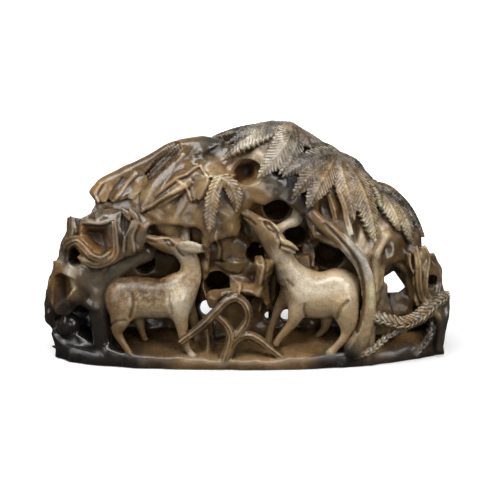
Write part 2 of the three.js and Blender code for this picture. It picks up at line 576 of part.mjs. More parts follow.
// Sprays of leaflets as seen on the dome: the apex, the leaflets as middle, tip and width,
// and how far they stand out.
const VEINED_SPRAYS = [
  [[13.5, 85.2], [[[0, 85], [-13.5, 80.4], 8]], LEAF_PROUD],
  [
    [14, 83.6],
    [
      [[4, 82.4], [-7.3, 76.3], 7], [[2, 79], [-9.2, 70.6], 8], [[16, 76], [10.5, 66.3], 8],
      [[18, 80], [21.5, 75.5], 7], [[12, 76], [3.4, 65], 11],
    ],
    OVERLAP,
  ],
  [[22, 77.5], [[[31, 75], [43, 67.5], 7]], LEAF_PROUD],
  [[34, 75.4], [[[39, 72.6], [43, 68], 5.5]], LEAF_PROUD],
  [
    [30.7, 72.8],
    [
      [[22, 71.6], [11.6, 65.3], 9], [[22.5, 67], [15.2, 57.2], 9], [[41.5, 65], [47.8, 54], 8.5],
      [[34.6, 62], [37.4, 49.5], 9.5], [[39.5, 60], [45.5, 41], 12], [[25.5, 64], [20.4, 53.6], 11],
    ],
    OVERLAP,
  ],
  [
    [44.5, 64.6],
    [
      [[50, 63], [57, 59], 7], [[55.4, 57.6], [63.2, 43.2], 10], [[50.5, 55], [54.5, 45.5], 9],
      [[54, 53.5], [59.3, 40.5], 10],
    ],
    LEAF_PROUD,
  ],
  [[-9.5, 65], [[[-13, 57], [-14, 44.3], 6], [[-5, 60.5], [-4, 52.5], 6.5]], OVERLAP],
];
// The large plain leaf at the left: its base, middle, tip and width.
const BLADE = [[-24.6, 78.8], [-31.2, 68.6], [-38.6, 53.8], 10.5];
const BLADE_PROUD = 2.2;

function foliage() {
  return [
    ...VEINED_SPRAYS.flatMap(([apex, leaflets, lift]) =>
      leaflets.map(([middle, tip, width]) => leaflet(apex, middle, tip, width, -1, lift)),
    ),
    leaflet(...BLADE, -1, BLADE_PROUD),
    ...backSprays(),
  ];
}

// Three sprays droop over the back from under the ridge.
function backSprays() {
  return [-38, 2, 38].flatMap((x) => {
    const crown = skyline(x) - 5;
    return [-17, 0, 17].map((step) => {
      const tip = [THREE.MathUtils.clamp(x + step, -64, 62), crown - 26 + Math.abs(step) * 0.75];
      return leaflet([x, crown], [(x + tip[0]) / 2, (crown + tip[1]) / 2], tip, 10, 1);
    });
  });
}

// Crumbs that the cutting leaves beside the stone are dropped.
function withoutCrumbs(made) {
  const crumb = 0.5;
  return union(made.decompose().filter((part) => part.volume() > crumb));
}

function carving() {
  const under = block([-90, 90].flatMap((x) => [-40, 40].flatMap((y) => [[x, y, 0], [x, y, -20]])));
  const made = union([
    rock(),
    ...RIDGES.map((stations) => limb(stations, { sides: 4 })),
    ...FACETS.map(facet),
    ...deer(LEFT_DEER),
    ...deer(RIGHT_DEER),
    ...stems(),
    ...foliage(),
  ]).subtract(under);
  const mesh = withoutCrumbs(made).getMesh();
  const geometry = new THREE.BufferGeometry();
  geometry.setAttribute("position", new THREE.BufferAttribute(mesh.vertProperties, 3));
  geometry.setIndex(new THREE.BufferAttribute(mesh.triVerts, 1));
  geometry.computeVertexNormals();
  const part = new THREE.Mesh(geometry, STONE);
  part.name = "jade_boulder_carving";
  return part;
}

const group = new THREE.Group();
group.name = "jade_mountain";
group.add(carving());

export default group;
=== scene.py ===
"""A jade boulder carved as a mountain grove: two deer under hanging leaves.

The carved surface is modelled as a distance field on a grid, in the shapes of the CAD solid with
finer relief, and turned into one mesh. Places are drawn in millimetres and follow the CAD box.
"""
import itertools
import math

import bpy
import numpy as np
import openvdb
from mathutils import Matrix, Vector


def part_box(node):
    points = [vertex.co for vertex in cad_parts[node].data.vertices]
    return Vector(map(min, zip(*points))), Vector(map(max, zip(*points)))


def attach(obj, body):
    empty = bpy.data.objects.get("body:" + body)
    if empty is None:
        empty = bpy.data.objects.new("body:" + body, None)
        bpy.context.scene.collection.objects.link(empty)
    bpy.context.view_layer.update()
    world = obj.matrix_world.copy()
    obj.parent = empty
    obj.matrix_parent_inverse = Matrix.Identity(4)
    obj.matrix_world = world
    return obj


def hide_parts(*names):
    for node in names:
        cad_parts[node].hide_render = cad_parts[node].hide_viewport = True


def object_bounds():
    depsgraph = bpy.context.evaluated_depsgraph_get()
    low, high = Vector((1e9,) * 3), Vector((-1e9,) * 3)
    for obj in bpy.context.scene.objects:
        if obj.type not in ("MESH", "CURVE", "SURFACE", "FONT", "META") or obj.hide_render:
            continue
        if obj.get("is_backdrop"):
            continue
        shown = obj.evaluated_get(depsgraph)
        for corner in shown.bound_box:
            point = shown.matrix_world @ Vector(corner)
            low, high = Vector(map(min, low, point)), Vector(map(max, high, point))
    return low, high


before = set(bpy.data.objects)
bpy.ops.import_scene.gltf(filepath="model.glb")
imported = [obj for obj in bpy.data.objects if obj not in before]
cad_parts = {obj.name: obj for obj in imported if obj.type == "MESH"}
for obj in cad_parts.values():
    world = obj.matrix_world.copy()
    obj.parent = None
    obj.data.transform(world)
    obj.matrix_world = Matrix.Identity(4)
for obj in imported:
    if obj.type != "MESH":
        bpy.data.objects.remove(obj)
cad_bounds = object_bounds()

NODE = "jade_boulder_carving"
BOX_LOW, BOX_HIGH = (np.array(corner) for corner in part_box(NODE))
LENGTH, DEPTH, HEIGHT = 150.0, 50.0, 88.0  # the stone that the places are drawn on, in mm
METRES = (BOX_HIGH - BOX_LOW) / (LENGTH, DEPTH, HEIGHT)
ORIGIN = np.array(((BOX_LOW[0] + BOX_HIGH[0]) / 2, (BOX_LOW[1] + BOX_HIGH[1]) / 2, BOX_LOW[2]))

STEP = 0.4  # grid spacing in mm
MOST_TRIANGLES = 190_000
rng = np.random.default_rng(7)

# Grid

GRID_LOW = np.array((-78.0, -28.0, -2.0))
GRID_HIGH = np.array((78.0, 28.0, 91.0))
COUNT = np.ceil((GRID_HIGH - GRID_LOW) / STEP).astype(int) + 1
AXES = [(GRID_LOW[i] + STEP * np.arange(COUNT[i])).astype(np.float32) for i in range(3)]
MARGIN = 2.5  # how far past its own box a shape is worked out, in mm
FAR = 8.0  # the greatest distance noted, in mm
NOTHING = 1e-6

ROCK, DEER, LEAF, WOOD, ROOT = range(5)


def soft_min(a, b, width):
    if width <= 0:
        return np.minimum(a, b)
    h = np.clip(0.5 + 0.5 * (b - a) / width, 0, 1)
    return b + (a - b) * h - width * h * (1 - h)


def soft_max(a, b, width):
    return -soft_min(-a, -b, width)


def cells(low, high):
    """The first and the last cell of a box in mm with its margin."""
    start = np.floor((np.array(low) - MARGIN - GRID_LOW) / STEP).astype(int)
    stop = np.ceil((np.array(high) + MARGIN - GRID_LOW) / STEP).astype(int) + 1
    return start, stop


class Field:
    """Distances on a box of the grid, negative inside the stone, with what each cell belongs to,
    how far along and across it the cell lies, and the tone of scored lines: stains and painted shadow
    lines darker, rubbed pale lines and painted highlights paler."""

    def __init__(self, low, high):
        start, stop = cells(low, high)
        self.start, self.stop = np.maximum(start, 0), np.minimum(stop, COUNT)
        size = self.stop - self.start
        self.distance = np.full(size, FAR, np.float32)
        self.label = np.zeros(size, np.uint8)
        self.along, self.across, self.scored = (np.zeros(size, np.float32) for _ in range(3))

    def part(self, start, stop):
        return tuple(slice(a, b) for a, b in zip(start - self.start, stop - self.start))

    def window(self, low, high):
        start, stop = (np.clip(cell, self.start, self.stop) for cell in cells(low, high))
        places = [AXES[i][start[i]:stop[i]] for i in range(3)]
        return self.part(start, stop), np.meshgrid(*places, indexing="ij", sparse=True)

    def put(self, here, found, blend, label):
        other, along, across = found if isinstance(found, tuple) else (found, 0, 0)
        old = self.distance[here]
        closer = other < old
        self.label[here] = np.where(closer, label, self.label[here])
        self.along[here] = np.where(closer, along, self.along[here])
        self.across[here] = np.where(closer, across, self.across[here])
        self.distance[here] = soft_min(old, other, blend)

    def add(self, shape, blend=0.5, label=ROCK):
        low, high, measure = shape
        here, place = self.window(low, high)
        if self.distance[here].size:
            self.put(here, measure(*place), blend, label)

    def cut(self, shape, blend=0.8):
        low, high, measure = shape
        here, place = self.window(low, high)
        if self.distance[here].size:
            self.distance[here] = soft_max(self.distance[here], -measure(*place), blend)

    def score(self, line, wide, depth, label, line_tone=1.0):
        """Engraves a line of seen x and height in what bears the label, or raises it where depth
        is below 0. It is marked with its line tone: above 0 darker, for the stain that lies in it and for
        painted shadow lines; below 0 paler, for rubbed pale lines and painted highlights on raised folds."""
        line = np.array(line, float)
        low = (line[:, 0].min() - wide, -25, line[:, 1].min() - wide)
        high = (line[:, 0].max() + wide, 0, line[:, 1].max() + wide + 7)
        here, (X, Y, Z) = self.window(low, high)
        height = Z + TILT * Y
        away = np.full(np.broadcast_shapes(X.shape, height.shape), FAR)
        for a, b in zip(line, line[1:]):
            way = b - a
            share = np.clip(((X - a[0]) * way[0] + (height - a[1]) * way[1]) / (way @ way + 1e-9), 0, 1)
            away = np.minimum(away, np.hypot(X - a[0] - way[0] * share, height - a[1] - way[1] * share))
        mark = np.clip(1 - (away / wide) ** 2, 0, 1) * (self.label[here] == label)
        self.distance[here] += depth * mark
        mark = mark * line_tone
        self.scored[here] = np.where(abs(mark) > abs(self.scored[here]), mark, self.scored[here])

    def merge(self, other, blend, label):
        self.put(self.part(other.start, other.stop), other.distance, blend, label)


# Shapes. Each is its box's low and high corner, and a function of X, Y, Z to distance.

BEYOND = 30  # a depth outside the stone, in mm
RECESS_NARROWING = 0.72
HOLE_MOUTH = 1.12
HOLE_POINT = 1.3
HOLE_POINT_SLOPE = 0.6


def ellipsoid(x, y, z, rx, ry, rz):
    centre, reach = np.array((x, y, z)), np.array((rx, ry, rz))

    def measure(X, Y, Z):
        u, v, w = (X - x) / rx, (Y - y) / ry, (Z - z) / rz
        level = np.sqrt(u * u + v * v + w * w) + 1e-4
        steep = np.sqrt((u / rx) ** 2 + (v / ry) ** 2 + (w / rz) ** 2) + 1e-4
        return level * (level - 1) / steep

    return centre - reach, centre + reach, measure


def drilled(x, y, z, radius, front, back, slope=0.0):
    """A round hole with a pointed end, a little wider at its mouth."""
    def measure(X, Y, Z):
        along = Y - y
        wide = radius * (1 + (HOLE_MOUTH - 1) * np.clip((back - along) / (front + back), 0, 1))
        middle = np.sqrt((X - x) ** 2 + (Z - z + slope * along) ** 2)
        point = (along - back + HOLE_POINT * middle) * HOLE_POINT_SLOPE
        return np.maximum(middle - wide, np.maximum(-front - along, point))

    rise = radius * 1.2
    low = (x - rise, y - front, z - rise - max(0, slope * back))
    high = (x + rise, y + back, z + rise + max(0, slope * front))
    return low, high, measure


def block(corners, rounding=0.8):
    """The convex rock through its corners."""
    points = np.array(corners, float)
    planes = []
    for a, b, c in itertools.combinations(points, 3):
        normal = np.cross(b - a, c - a)
        size = np.linalg.norm(normal)
        if size < NOTHING:
            continue
        normal /= size
        side = (points - a) @ normal
        if side.max() > NOTHING:
            normal, side = -normal, -side
        if side.max() > NOTHING:
            continue
        plane = (*normal, float(normal @ a))
        if not any(np.allclose(plane, other, atol=1e-5) for other in planes):
            planes.append(plane)

    def measure(X, Y, Z):
        far = None
        for nx, ny, nz, offset in planes:
            away = nx * X + ny * Y + nz * Z - offset
            far = away if far is None else soft_max(far, away, rounding)
        return far

    return points.min(0), points.max(0), measure


def recess(outline, side, wall):
    """A hollow from beyond the front or back, by its outline in x and z, to its wall at y."""
    middle = np.mean(outline, axis=0)
    corners = []
    for point in outline:
        inner = middle + (np.array(point) - middle) * RECESS_NARROWING
        corners += [(point[0], side * BEYOND, point[1]), (inner[0], wall, inner[1])]
    return block(corners, 1.6)


def spline(stations, step=1.0):
    """Points along a smooth curve through the stations, all their numbers eased alike."""
    s = np.array(stations, float)
    s = np.vstack((2 * s[0] - s[1], s, 2 * s[-1] - s[-2]))
    found = []
    for a, b, c, d in zip(s, s[1:], s[2:], s[3:]):
        pieces = max(2, int(np.linalg.norm(c[:3] - b[:3]) / step))
        for t in np.arange(pieces) / pieces:
            found.append(
                b + 0.5 * t * (c - a + t * (2 * a - 5 * b + 4 * c - d + t * (3 * (b - c) + d - a)))
            )
    found.append(s[-2])
    return np.array(found)


def lengths_along(points):
    return np.concatenate(([0], np.cumsum(np.linalg.norm(np.diff(points, axis=0), axis=1))))


def limb(stations, flat=1.0, relief=None, lean=0.0):
    """A round-ended limb through [x, y, z, radius]. flat squeezes it along Y. relief gives the
    height of its surface from the way along it and the way across it. lean is how far its lines
    run along it for each mm across it."""
    path = spline(stations)
    path[:, 3] = np.maximum(path[:, 3], 0.25)
    lengths = lengths_along(path[:, :3])
    widest = path[:, 3].max() + 0.4
    squeezed = path[:, :3] * (1, 1 / flat, 1)

    def measure(X, Y, Z):
        best = np.inf
        along = across = 0.0
        for i in range(len(path) - 1):
            a, b = squeezed[i], squeezed[i + 1]
            way = b - a
            size = float(way @ way) + 1e-9
            px, py, pz = X - a[0], Y / flat - a[1], Z - a[2]
            h = np.clip((px * way[0] + py * way[1] + pz * way[2]) / size, 0, 1)
            qx, qy, qz = px - way[0] * h, py - way[1] * h, pz - way[2] * h
            wide = path[i, 3] + (path[i + 1, 3] - path[i, 3]) * h
            away = np.sqrt(qx * qx + qy * qy + qz * qz) - wide
            if relief:
                closer = away < best
                turn = math.hypot(way[0], way[2]) + 1e-9
                along = np.where(closer, lengths[i] + (lengths[i + 1] - lengths[i]) * h, along)
                across = np.where(closer, (qx * way[2] - qz * way[0]) / turn, across)
            best = np.minimum(best, away)
        squeeze = min(1, flat ** 0.5)
        if not relief:
            return best * squeeze
        return (best - relief(along, across)) * squeeze, along + lean * np.abs(across), across

    reach = np.array((widest, widest * flat, widest))
    return path[:, :3].min(0) - reach, path[:, :3].max(0) + reach, measure


# The stone's own form

SKYLINE = np.array([
    (-75, 20), (-74, 26), (-72.5, 32.5), (-70.3, 35.8), (-68, 41.5), (-66.6, 45.5), (-65.5, 50.5),
    (-62, 50.4), (-58.5, 51.5), (-57, 56), (-55, 61), (-52, 62.8), (-47, 65), (-42, 67.4), (-38, 70),
    (-34, 71.8), (-30, 73.2), (-25, 77.5), (-17, 81), (-14.5, 79.5), (-10, 79.5), (-5, 81), (0, 83.2),
    (5, 86), (9, 87.1), (12, 86.4), (15, 84.7), (20, 82.2), (26, 78.6), (30, 75.3), (33, 73), (37, 72.2),
    (41, 67.6), (43, 62), (48, 62.3), (51, 60.5), (55, 57), (58, 55.2), (60, 52.7), (62, 49), (63.4, 44.5),
    (64.5, 40), (67, 38), (68.5, 34.5), (70.5, 30.5), (71.6, 27), (73, 23.5), (75, 20),
])
HALF_DEPTHS = np.array([
    (-75, 5), (-72, 8), (-66, 15), (-55, 19.5), (-40, 22.8), (-20, 24.6), (0, 25), (20, 24.2), (35, 21.8),
    (45, 19.2), (60, 12.6), (70, 6.4), (75, 5),
])
DEPTH_POWER = 2.4
SKY_POWER = 2.6
SIGHT = math.radians(15)  # the heights of carved details are noted as seen from this far above
TILT = math.tan(SIGHT)


def seen(places):
    """Places as x, y and the height at which they are seen, turned to x, y and z."""
    return [(x, y, height - TILT * y, *rest) for x, y, height, *rest in places]


def skyline(x):
    return np.interp(x, SKYLINE[:, 0], SKYLINE[:, 1])


def half_depth(x):
    return np.interp(x, HALF_DEPTHS[:, 0], HALF_DEPTHS[:, 1])


def dome():
    def measure(X, Y, Z):
        wide, tall = half_depth(X), skyline(X)
        share = np.abs(Y / wide) ** DEPTH_POWER + np.clip(Z / tall, 0, None) ** SKY_POWER + 1e-5
        level = share ** (1 / 2.5)
        gx, gy, gz = np.gradient(level, STEP)
        steep = np.sqrt(gx * gx + gy * gy + gz * gz) + 1e-3
        body = np.clip((level - 1) / steep, -FAR, FAR)
        return soft_max(body, np.abs(X) - LENGTH / 2, 1.0)

    return GRID_LOW, GRID_HIGH, measure


def on_dome(x, height, side, lift):
    """The place on the dome at x and at a height, moved out by lift, and the normal there. On the
    front the height is the one seen from SIGHT above: z less the fall of the sight line."""
    wide, tall = float(half_depth(x)), float(skyline(x))

    def depth(z):
        return wide * max(0.0, 1 - (z / tall) ** SKY_POWER) ** (1 / DEPTH_POWER)

    low, high = 0.0, tall
    for _ in range(30):
        z = (low + high) / 2
        if z - (TILT * depth(z) if side < 0 else 0) < height:
            low = z
        else:
            high = z
    y = side * depth(z)

    def level(px, py, pz):
        return abs(py / float(half_depth(px))) ** DEPTH_POWER + (pz / float(skyline(px))) ** SKY_POWER

    h = 0.5
    normal = np.array((
        level(x + h, y, z) - level(x - h, y, z),
        level(x, y + h, z) - level(x, y - h, z),
        level(x, y, z + h) - level(x, y, z - h),
    ))
    normal /= np.linalg.norm(normal)
    return np.array((x, y, z)) + normal * lift, normal


# Leaves

# In mm, but for VEIN_LEAN, RIDGE_STEEP and TOOTH_SHARE.
LEAF_THICKNESS = 4.0
LEAF_EDGE_DROP = 1.1
LEAF_PROUD = 2.1
LEAF_ARCH = 0.6
TIP_DROP = 0.3
MIDRIB_RISE = 0.35
MIDRIB_REACH = 0.4
VEIN_SPACING = 1.5
VEIN_LEAN = 0.9
VEIN_DEPTH = 0.6
RIDGE_STEEP = 0.42
TOOTH_LENGTH = 2.1
TOOTH_SHARE = 0.27


def unit(rows):
    return rows / np.linalg.norm(rows, axis=1, keepdims=True)


def leaflet(base, middle, tip, width, side=-1, lift=LEAF_PROUD, veined=True, hatched=1.0):
    """A pointed leaf from base to tip with a toothed edge and veins, on the whole of it or, where
    hatched is below 1, on the left half of that share of its length. Where it isn't veined it is a
    plain ridge between two flat faces that run out on the stone."""
    first, _ = on_dome(*base, side, lift)
    middle, normal = on_dome(*middle, side, lift + (LEAF_ARCH if veined else 0))
    last, _ = on_dome(*tip, side, lift - TIP_DROP)
    bow = 2 * middle - (first + last) / 2
    t = np.linspace(0, 1, 15)[:, None]
    points = first * (1 - t) ** 2 + 2 * bow * t * (1 - t) + last * t ** 2
    ways = unit(2 * (bow - first) * (1 - t) + 2 * (last - bow) * t)
    normals = unit(normal - ways * (ways @ normal)[:, None])
    asides = np.cross(normals, ways)
    lengths = lengths_along(points)
    total = lengths[-1]
    half = width / 2

    def measure(X, Y, Z):
        best = np.inf
        along = across = height = 0.0
        for point, way, up, aside, length in zip(points, ways, normals, asides, lengths):
            dx, dy, dz = X - point[0], Y - point[1], Z - point[2]
            away = dx * dx + dy * dy + dz * dz
            closer = away < best
            best = np.where(closer, away, best)
            along = np.where(closer, length + dx * way[0] + dy * way[1] + dz * way[2], along)
            across = np.where(closer, dx * aside[0] + dy * aside[1] + dz * aside[2], across)
            height = np.where(closer, dx * up[0] + dy * up[1] + dz * up[2], height)
        share = np.clip(along / total, 0, 1)
        outline = np.clip(np.sin(np.pi * share ** 0.8), 0, 1) ** 0.75
        outline = outline + 0.45 * np.clip(1 - share / 0.25, 0, 1)
        aside = np.abs(across)
        if veined:
            shown = 1.0 if hatched == 1 else (across < 0) * (share < hatched)
            tooth = (along / TOOTH_LENGTH) % 1
            outline = outline * (1 - TOOTH_SHARE * tooth * (share > 0.12) * shown)
            top = -LEAF_EDGE_DROP * (aside / half) ** 2
            slant = (along - VEIN_LEAN * aside) / VEIN_SPACING
            groove = (0.5 + 0.5 * np.cos(2 * np.pi * slant)) ** 3
            outward = np.clip(aside / (half * outline + 0.3), 0, 1)
            top = top - VEIN_DEPTH * groove * np.clip(0.2 + 1.3 * outward, 0, 1) * shown
            top = top + MIDRIB_RISE * np.exp(-((aside / MIDRIB_REACH) ** 2)) * shown
            along_shown = np.where(shown, slant * VEIN_SPACING, VEIN_SPACING / 2)
            aside_shown = outward * shown
        else:
            top = -RIDGE_STEEP * aside
            along_shown = aside_shown = 0
        under = np.clip(top - height - 1.0, 0, None)
        walls = aside - half * outline + 0.5 * under
        body = np.maximum(walls, np.maximum(-height - LEAF_THICKNESS, along - total))
        body = np.maximum(body, -along - 1)
        return soft_max(body, height - top, 0.25) * 0.85, along_shown, aside_shown

    reach = half + 1.5
    low = np.minimum(points.min(0), (points - normals * LEAF_THICKNESS).min(0)) - reach
    return low, points.max(0) + reach, measure


# What is carved

# Each as its outline in x and z and the y of its wall.
FRONT_RECESSES = [
    ([(-58, 6), (-58, 28), (-53, 40), (-38, 46), (-14, 44), (-12, 30), (-13, 3), (-50, 3)], -4),
    ([(-40, 40), (-38, 52), (-30, 55), (-14, 52), (-13, 38)], -12),
    ([(-80, 9), (-80, 20), (-62, 23), (-53, 20), (-52, 3), (-62, 3)], -5),
    ([(-16, 3), (-17, 20), (-8, 30), (4, 28), (14, 18), (14, 3)], -6),
    ([(-17, 26), (-16, 47), (-6, 51), (4, 46), (5, 28)], -12),
    ([(4, 3), (2, 28), (8, 43), (24, 51), (40, 44), (47, 32), (47, 14), (41, 3)], -4),
    ([(-7, 46), (-6, 56), (1, 62), (13, 63), (24, 57), (26, 46), (16, 38), (4, 38)], -7),
    ([(46, 3), (45, 22), (49, 38), (57, 41), (64, 31), (71, 17), (71, 3)], 4),
]
BACK_RECESSES = [
    ([(-62, 5), (-60, 24), (-48, 34), (-36, 26), (-34, 5)], 10),
    ([(-28, 5), (-30, 28), (-16, 40), (0, 32), (2, 5)], 11),
    ([(8, 5), (8, 24), (20, 37), (34, 30), (36, 5)], 11),
    ([(44, 5), (42, 26), (52, 34), (63, 24), (64, 5)], 8),
]
BACK_DEPTH = 21
# Ellipsoids cut out, as x, y, z and the three half sizes.
HOLLOWS = [
    (-0.4, -18.5, 72.6, 6.6, 8.5, 5.4),
    (-1.2, -13, 71, 3.9, 5.5, 3.2),
    (39, -20, 50, 2.2, 6, 5),
    (28.6, -19, 58.5, 3.2, 4.5, 5.6),
    (62.3, -12, 41, 1.7, 4, 1.8),
    (17.8, -14.5, 48.6, 3.4, 4, 2.6),
    (-40, 22, 45, 10, 8, 6),
    (0, 23, 52, 11, 8, 6),
    (36, 22, 46, 10, 8, 6),
]
# Round holes: x, y, z, radius, reach to the front and to the back, and how steeply they fall.
DRILLED = [
    (-63.2, -10, 39.1, 3.1, 10, 9),
    (-38.5, -4, 35, 3.7, 8, 12),
    (-11.5, -4, 29.2, 4.3, 14, 14),
    (10.2, -8, 57, 4.6, 14, 18),
    (2.4, -6, 40.2, 3, 10, 13),
    (30, -4, 39, 5.5, 6, 17),
    (17.2, -7, 46.2, 3.4, 6, 14),
    (67.6, -8, 28.6, 2.2, 8, 9),
    (-15.1, 0, 16.5, 2.9, 18, 30, TILT),
    (7.5, 0, 13.6, 1.4, 16, 30, TILT),
    (14.4, 0, 13.6, 2.2, 16, 30, TILT),
]
# Rocks by their corners, each as x, y and the height at which it is seen.
ROCKS = [
    [(-21, -14.5, 53), (-16.2, -15, 53), (-15.6, -14, 43), (-18, -14.5, 41), (-20.5, -14, 44),
     (-22, -5, 54), (-15, -5, 54), (-15, -5, 40), (-21, -5, 41)],
    [(-15.2, -13, 44.5), (-9, -14, 45), (-8.8, -14.5, 35), (-15.2, -13.5, 34.5), (-5.5, -12, 45),
     (-5.8, -12, 39), (-16, -3, 50), (-6, -3, 50), (-16, -3, 33), (-6, -3, 33)],
    [(-6.2, -13, 29), (0.6, -14, 27.6), (1.2, -14, 25), (0.2, -13.5, 21.5), (-7, -13, 21.5), (-8, -3, 32),
     (3, -3, 32), (-8, -3, 20), (3, -3, 20)],
    [(-15, -12.5, 34.5), (-4, -13.5, 33.8), (1.5, -12, 35), (-4, -13, 30), (-9, -11, 31.5), (-16, -3, 35),
     (3, -3, 36), (-6, -3, 29)],
    [(1, -10, 41), (5, -12, 41), (6.6, -12, 28), (4, -11, 15), (0.5, -9, 15), (0, 0, 42), (8, 0, 42),
     (0, 0, 10), (6, 0, 10)],
    [(6, -9, 34), (10.5, -10, 33), (9.6, -9, 18), (6, -8, 15), (6, 0, 36), (13, 0, 36), (6, 0, 12),
     (11, 0, 12)],
    [(20, -8, 46), (25, -8, 44), (26, -9, 33), (24.5, -10, 30.5), (20.5, -10, 31), (20, 0, 47), (27, 0, 45),
     (20, 0, 29), (27, 0, 29)],
    [(16.8, -11, 37), (21, -12, 36), (22.8, -12, 30.5), (18, -12, 30.5), (16, -2, 38), (24, -2, 38),
     (17, -2, 28), (25, -2, 28)],
    [(-5, -15, 65.5), (3, -15.5, 63.8), (9, -14.5, 64.3), (8.4, -13.5, 61.5), (3, -15.5, 60.5),
     (-1, -16, 57.2), (-3, -16, 60), (-5, -6, 67), (9, -6, 66), (-2, -6, 56), (8, -6, 60)],
    [(-17.2, -12.5, 70), (-9, -12, 71), (-4.8, -14.5, 66.3), (-14.6, -17.5, 66.3), (-15, -12, 60),
     (-5, -12, 60), (-17, -4, 69), (-6, -4, 69)],
    [(-38.2, -16, 53.4), (-22.8, -15.5, 62.4), (-15, -16.5, 65), (-14.6, -18.5, 54), (-20, -19, 51.8),
     (-27, -18.5, 52), (-36, -8, 52), (-16, -8, 50), (-16, -6, 66), (-30, -6, 62)],
    [(-22.8, -15.5, 62.5), (-26.5, -15, 66.5), (-21, -13.5, 66), (-18, -14.5, 70), (-15, -17, 66),
     (-15, -16.5, 60), (-26, -5, 68), (-16, -5, 70), (-20, -5, 60)],
    [(-57, -6, 60.5), (-54.6, -5, 64.2), (-47, -4, 67.8), (-38, -5, 71), (-36, -8, 68), (-38.6, -12, 62),
     (-41.5, -13, 57.8), (-47, -12, 57.6), (-52, -10.5, 56.5), (-56, -8, 57.6), (-55, 2, 60), (-40, 2, 66)],
    [(-60.5, -14, 49.6), (-49, -17.5, 49.2), (-46, -16, 53), (-56, -11, 53), (-62, -14.5, 40),
     (-57.5, -17, 31.5), (-52, -18.5, 32.2), (-47.4, -18.5, 35), (-46.3, -17.8, 44), (-62, -4, 50),
     (-46, -4, 53), (-60, -4, 31), (-47, -4, 35)],
    [(-66, -5, 51.8), (-63.5, -6.5, 51), (-63.4, -9.5, 43.5), (-66, -9.5, 42.6), (-66.2, 2, 50),
     (-62, 2, 50.5), (-66, 2, 42), (-62, 2, 42)],
    [(-74.3, -2, 17.5), (-74.5, -2, 27), (-72, -4.5, 34.5), (-64, -13, 33), (-57.5, -16, 30.4),
     (-58, -17, 20.5), (-65.2, -14.5, 14.8), (-70.5, -9.5, 14.6), (-60, 0, 17), (-60, 0, 36)],
    [(-75, -3, 0), (-71, -10, -2.6), (-64, -14, -3.7), (-56, -16, -4.3), (-56, -13, 2.5), (-65, -12, 7.5),
     (-70.5, -5, 10.5), (-71, 2, 8), (-60, 2, 14), (-56, 2, 0)],
    [(-42, -18, 49.2), (-39.8, -18, 48.8), (-38.2, -17.5, 45.5), (-44.5, -18.5, 44), (-45.3, -18, 40),
     (-44, -17.5, 36.2), (-40, -17.5, 36.5), (-37, -17, 40), (-44, -6, 50), (-38, -6, 48), (-45, -6, 37),
     (-38, -6, 38)],
    [(46.8, -14, 26), (51.2, -12, 25.4), (53.2, -12, 15), (46.3, -15, 15), (46.3, -15, 6), (53.6, -12, 6),
     (47, 0, 26), (51, 0, 25), (53, 0, 6), (46, 0, 6)],
    [(61, -12, 37.5), (63, -9, 39.8), (65.2, -7, 39.9), (67.2, -5, 38), (68.7, -4, 35), (70.6, -3, 31.5),
     (71.7, -2.5, 28.5), (71.6, -3, 24), (66, -9, 18), (62, -11.5, 17), (60.5, -12.5, 22),
     (60.3, -12.5, 31), (62, 4, 39), (70, 4, 30), (71, 4, 20), (62, 4, 18)],
    [(56.8, -12, 37.6), (59.8, -13, 38.4), (60.6, -13.4, 29), (58, -12, 33), (58, 0, 38), (61, 0, 29)],
    [(52.4, -4, 22.6), (58.2, -4, 24), (61, -5, 21), (61, -6, 15), (52.5, -5, 14), (52.4, 3, 22.6),
     (61, 3, 22), (61, 3, 14), (52, 3, 14)],
    [(70.3, -7, 22.3), (71.5, -5, 23), (74.2, -3, 22.8), (75, -2.5, 21.6), (75, -2, 20), (73.8, -3, 10),
     (72.8, -3.5, 2), (71.2, -5, 2), (71.8, -5.5, 14), (71, 5, 23), (75, 4, 20), (72.8, 5, 2), (70, 5, 2)],
]
# Cut into the left rocks: a pocket of two panels, and a wide scoop. The first six corners of each
# are its rim, which is also brought out to POCKET_FRONT.
POCKET_FRONT = -25
POCKETS = [
    [(-72.2, -5.5, 28.5), (-69, -9.5, 30.5), (-63.4, -14, 27.6), (-63.4, -14, 25.2), (-66.6, -12.8, 20.4),
     (-72.2, -6, 16.3), (-68.3, -5.2, 20.5), (-68.3, -5.2, 28.4)],
    [(-61.8, -14.4, 44.6), (-60, -14.6, 48.6), (-50.2, -17.2, 48.1), (-48.9, -17.9, 40),
     (-51.6, -18.2, 36.4), (-56.4, -17, 38.8), (-57.5, -10.8, 45.6), (-53.4, -12.2, 45.6),
     (-52.6, -13.4, 41), (-55.4, -12.6, 41.6)],
]
# Each as its outline in x and z, cut through the whole depth.
SIDE_CUTS = [
    [(-75.6, 16), (-71, 3.8), (-90, 3.8), (-90, 16)],
    [(-71, 3.8), (-72.7, 1.4), (-72.7, -5), (-90, -5), (-90, 3.8)],
    [(75.4, 20.5), (72.6, 3), (90, 3), (90, 20.5)],
    [(72.6, 3), (74, 1.6), (74, -5), (90, -5), (90, 3)],
    [(-57.5, 58.5), (-54, 53.4), (-60, 53)],
]
# The window right of the trunk: its outline as x and seen height, cut along the line of sight.
WINDOW = [(50.4, 28.2), (54.4, 30.8), (58.8, 24.4), (56.4, 22.5), (51.8, 22.3)]
GROUND = [(x, y, z) for x in (-80, 80) for y, z in ((-30, 0.8), (-12, 6.2), (30, 6.2), (-30, -5), (30, -5))]
GROUND_BOX = ((-76, -26, 0), (76, 26, 8))
# Ellipsoids added, noted as the HOLLOWS are.
BUMPS = [(-66, -8.5, 12, 4.2, 4, 4.8), (52.5, -3, 40, 3.2, 4, 3.6), (-29, -7, 54, 12.5, 10.2, 12)]
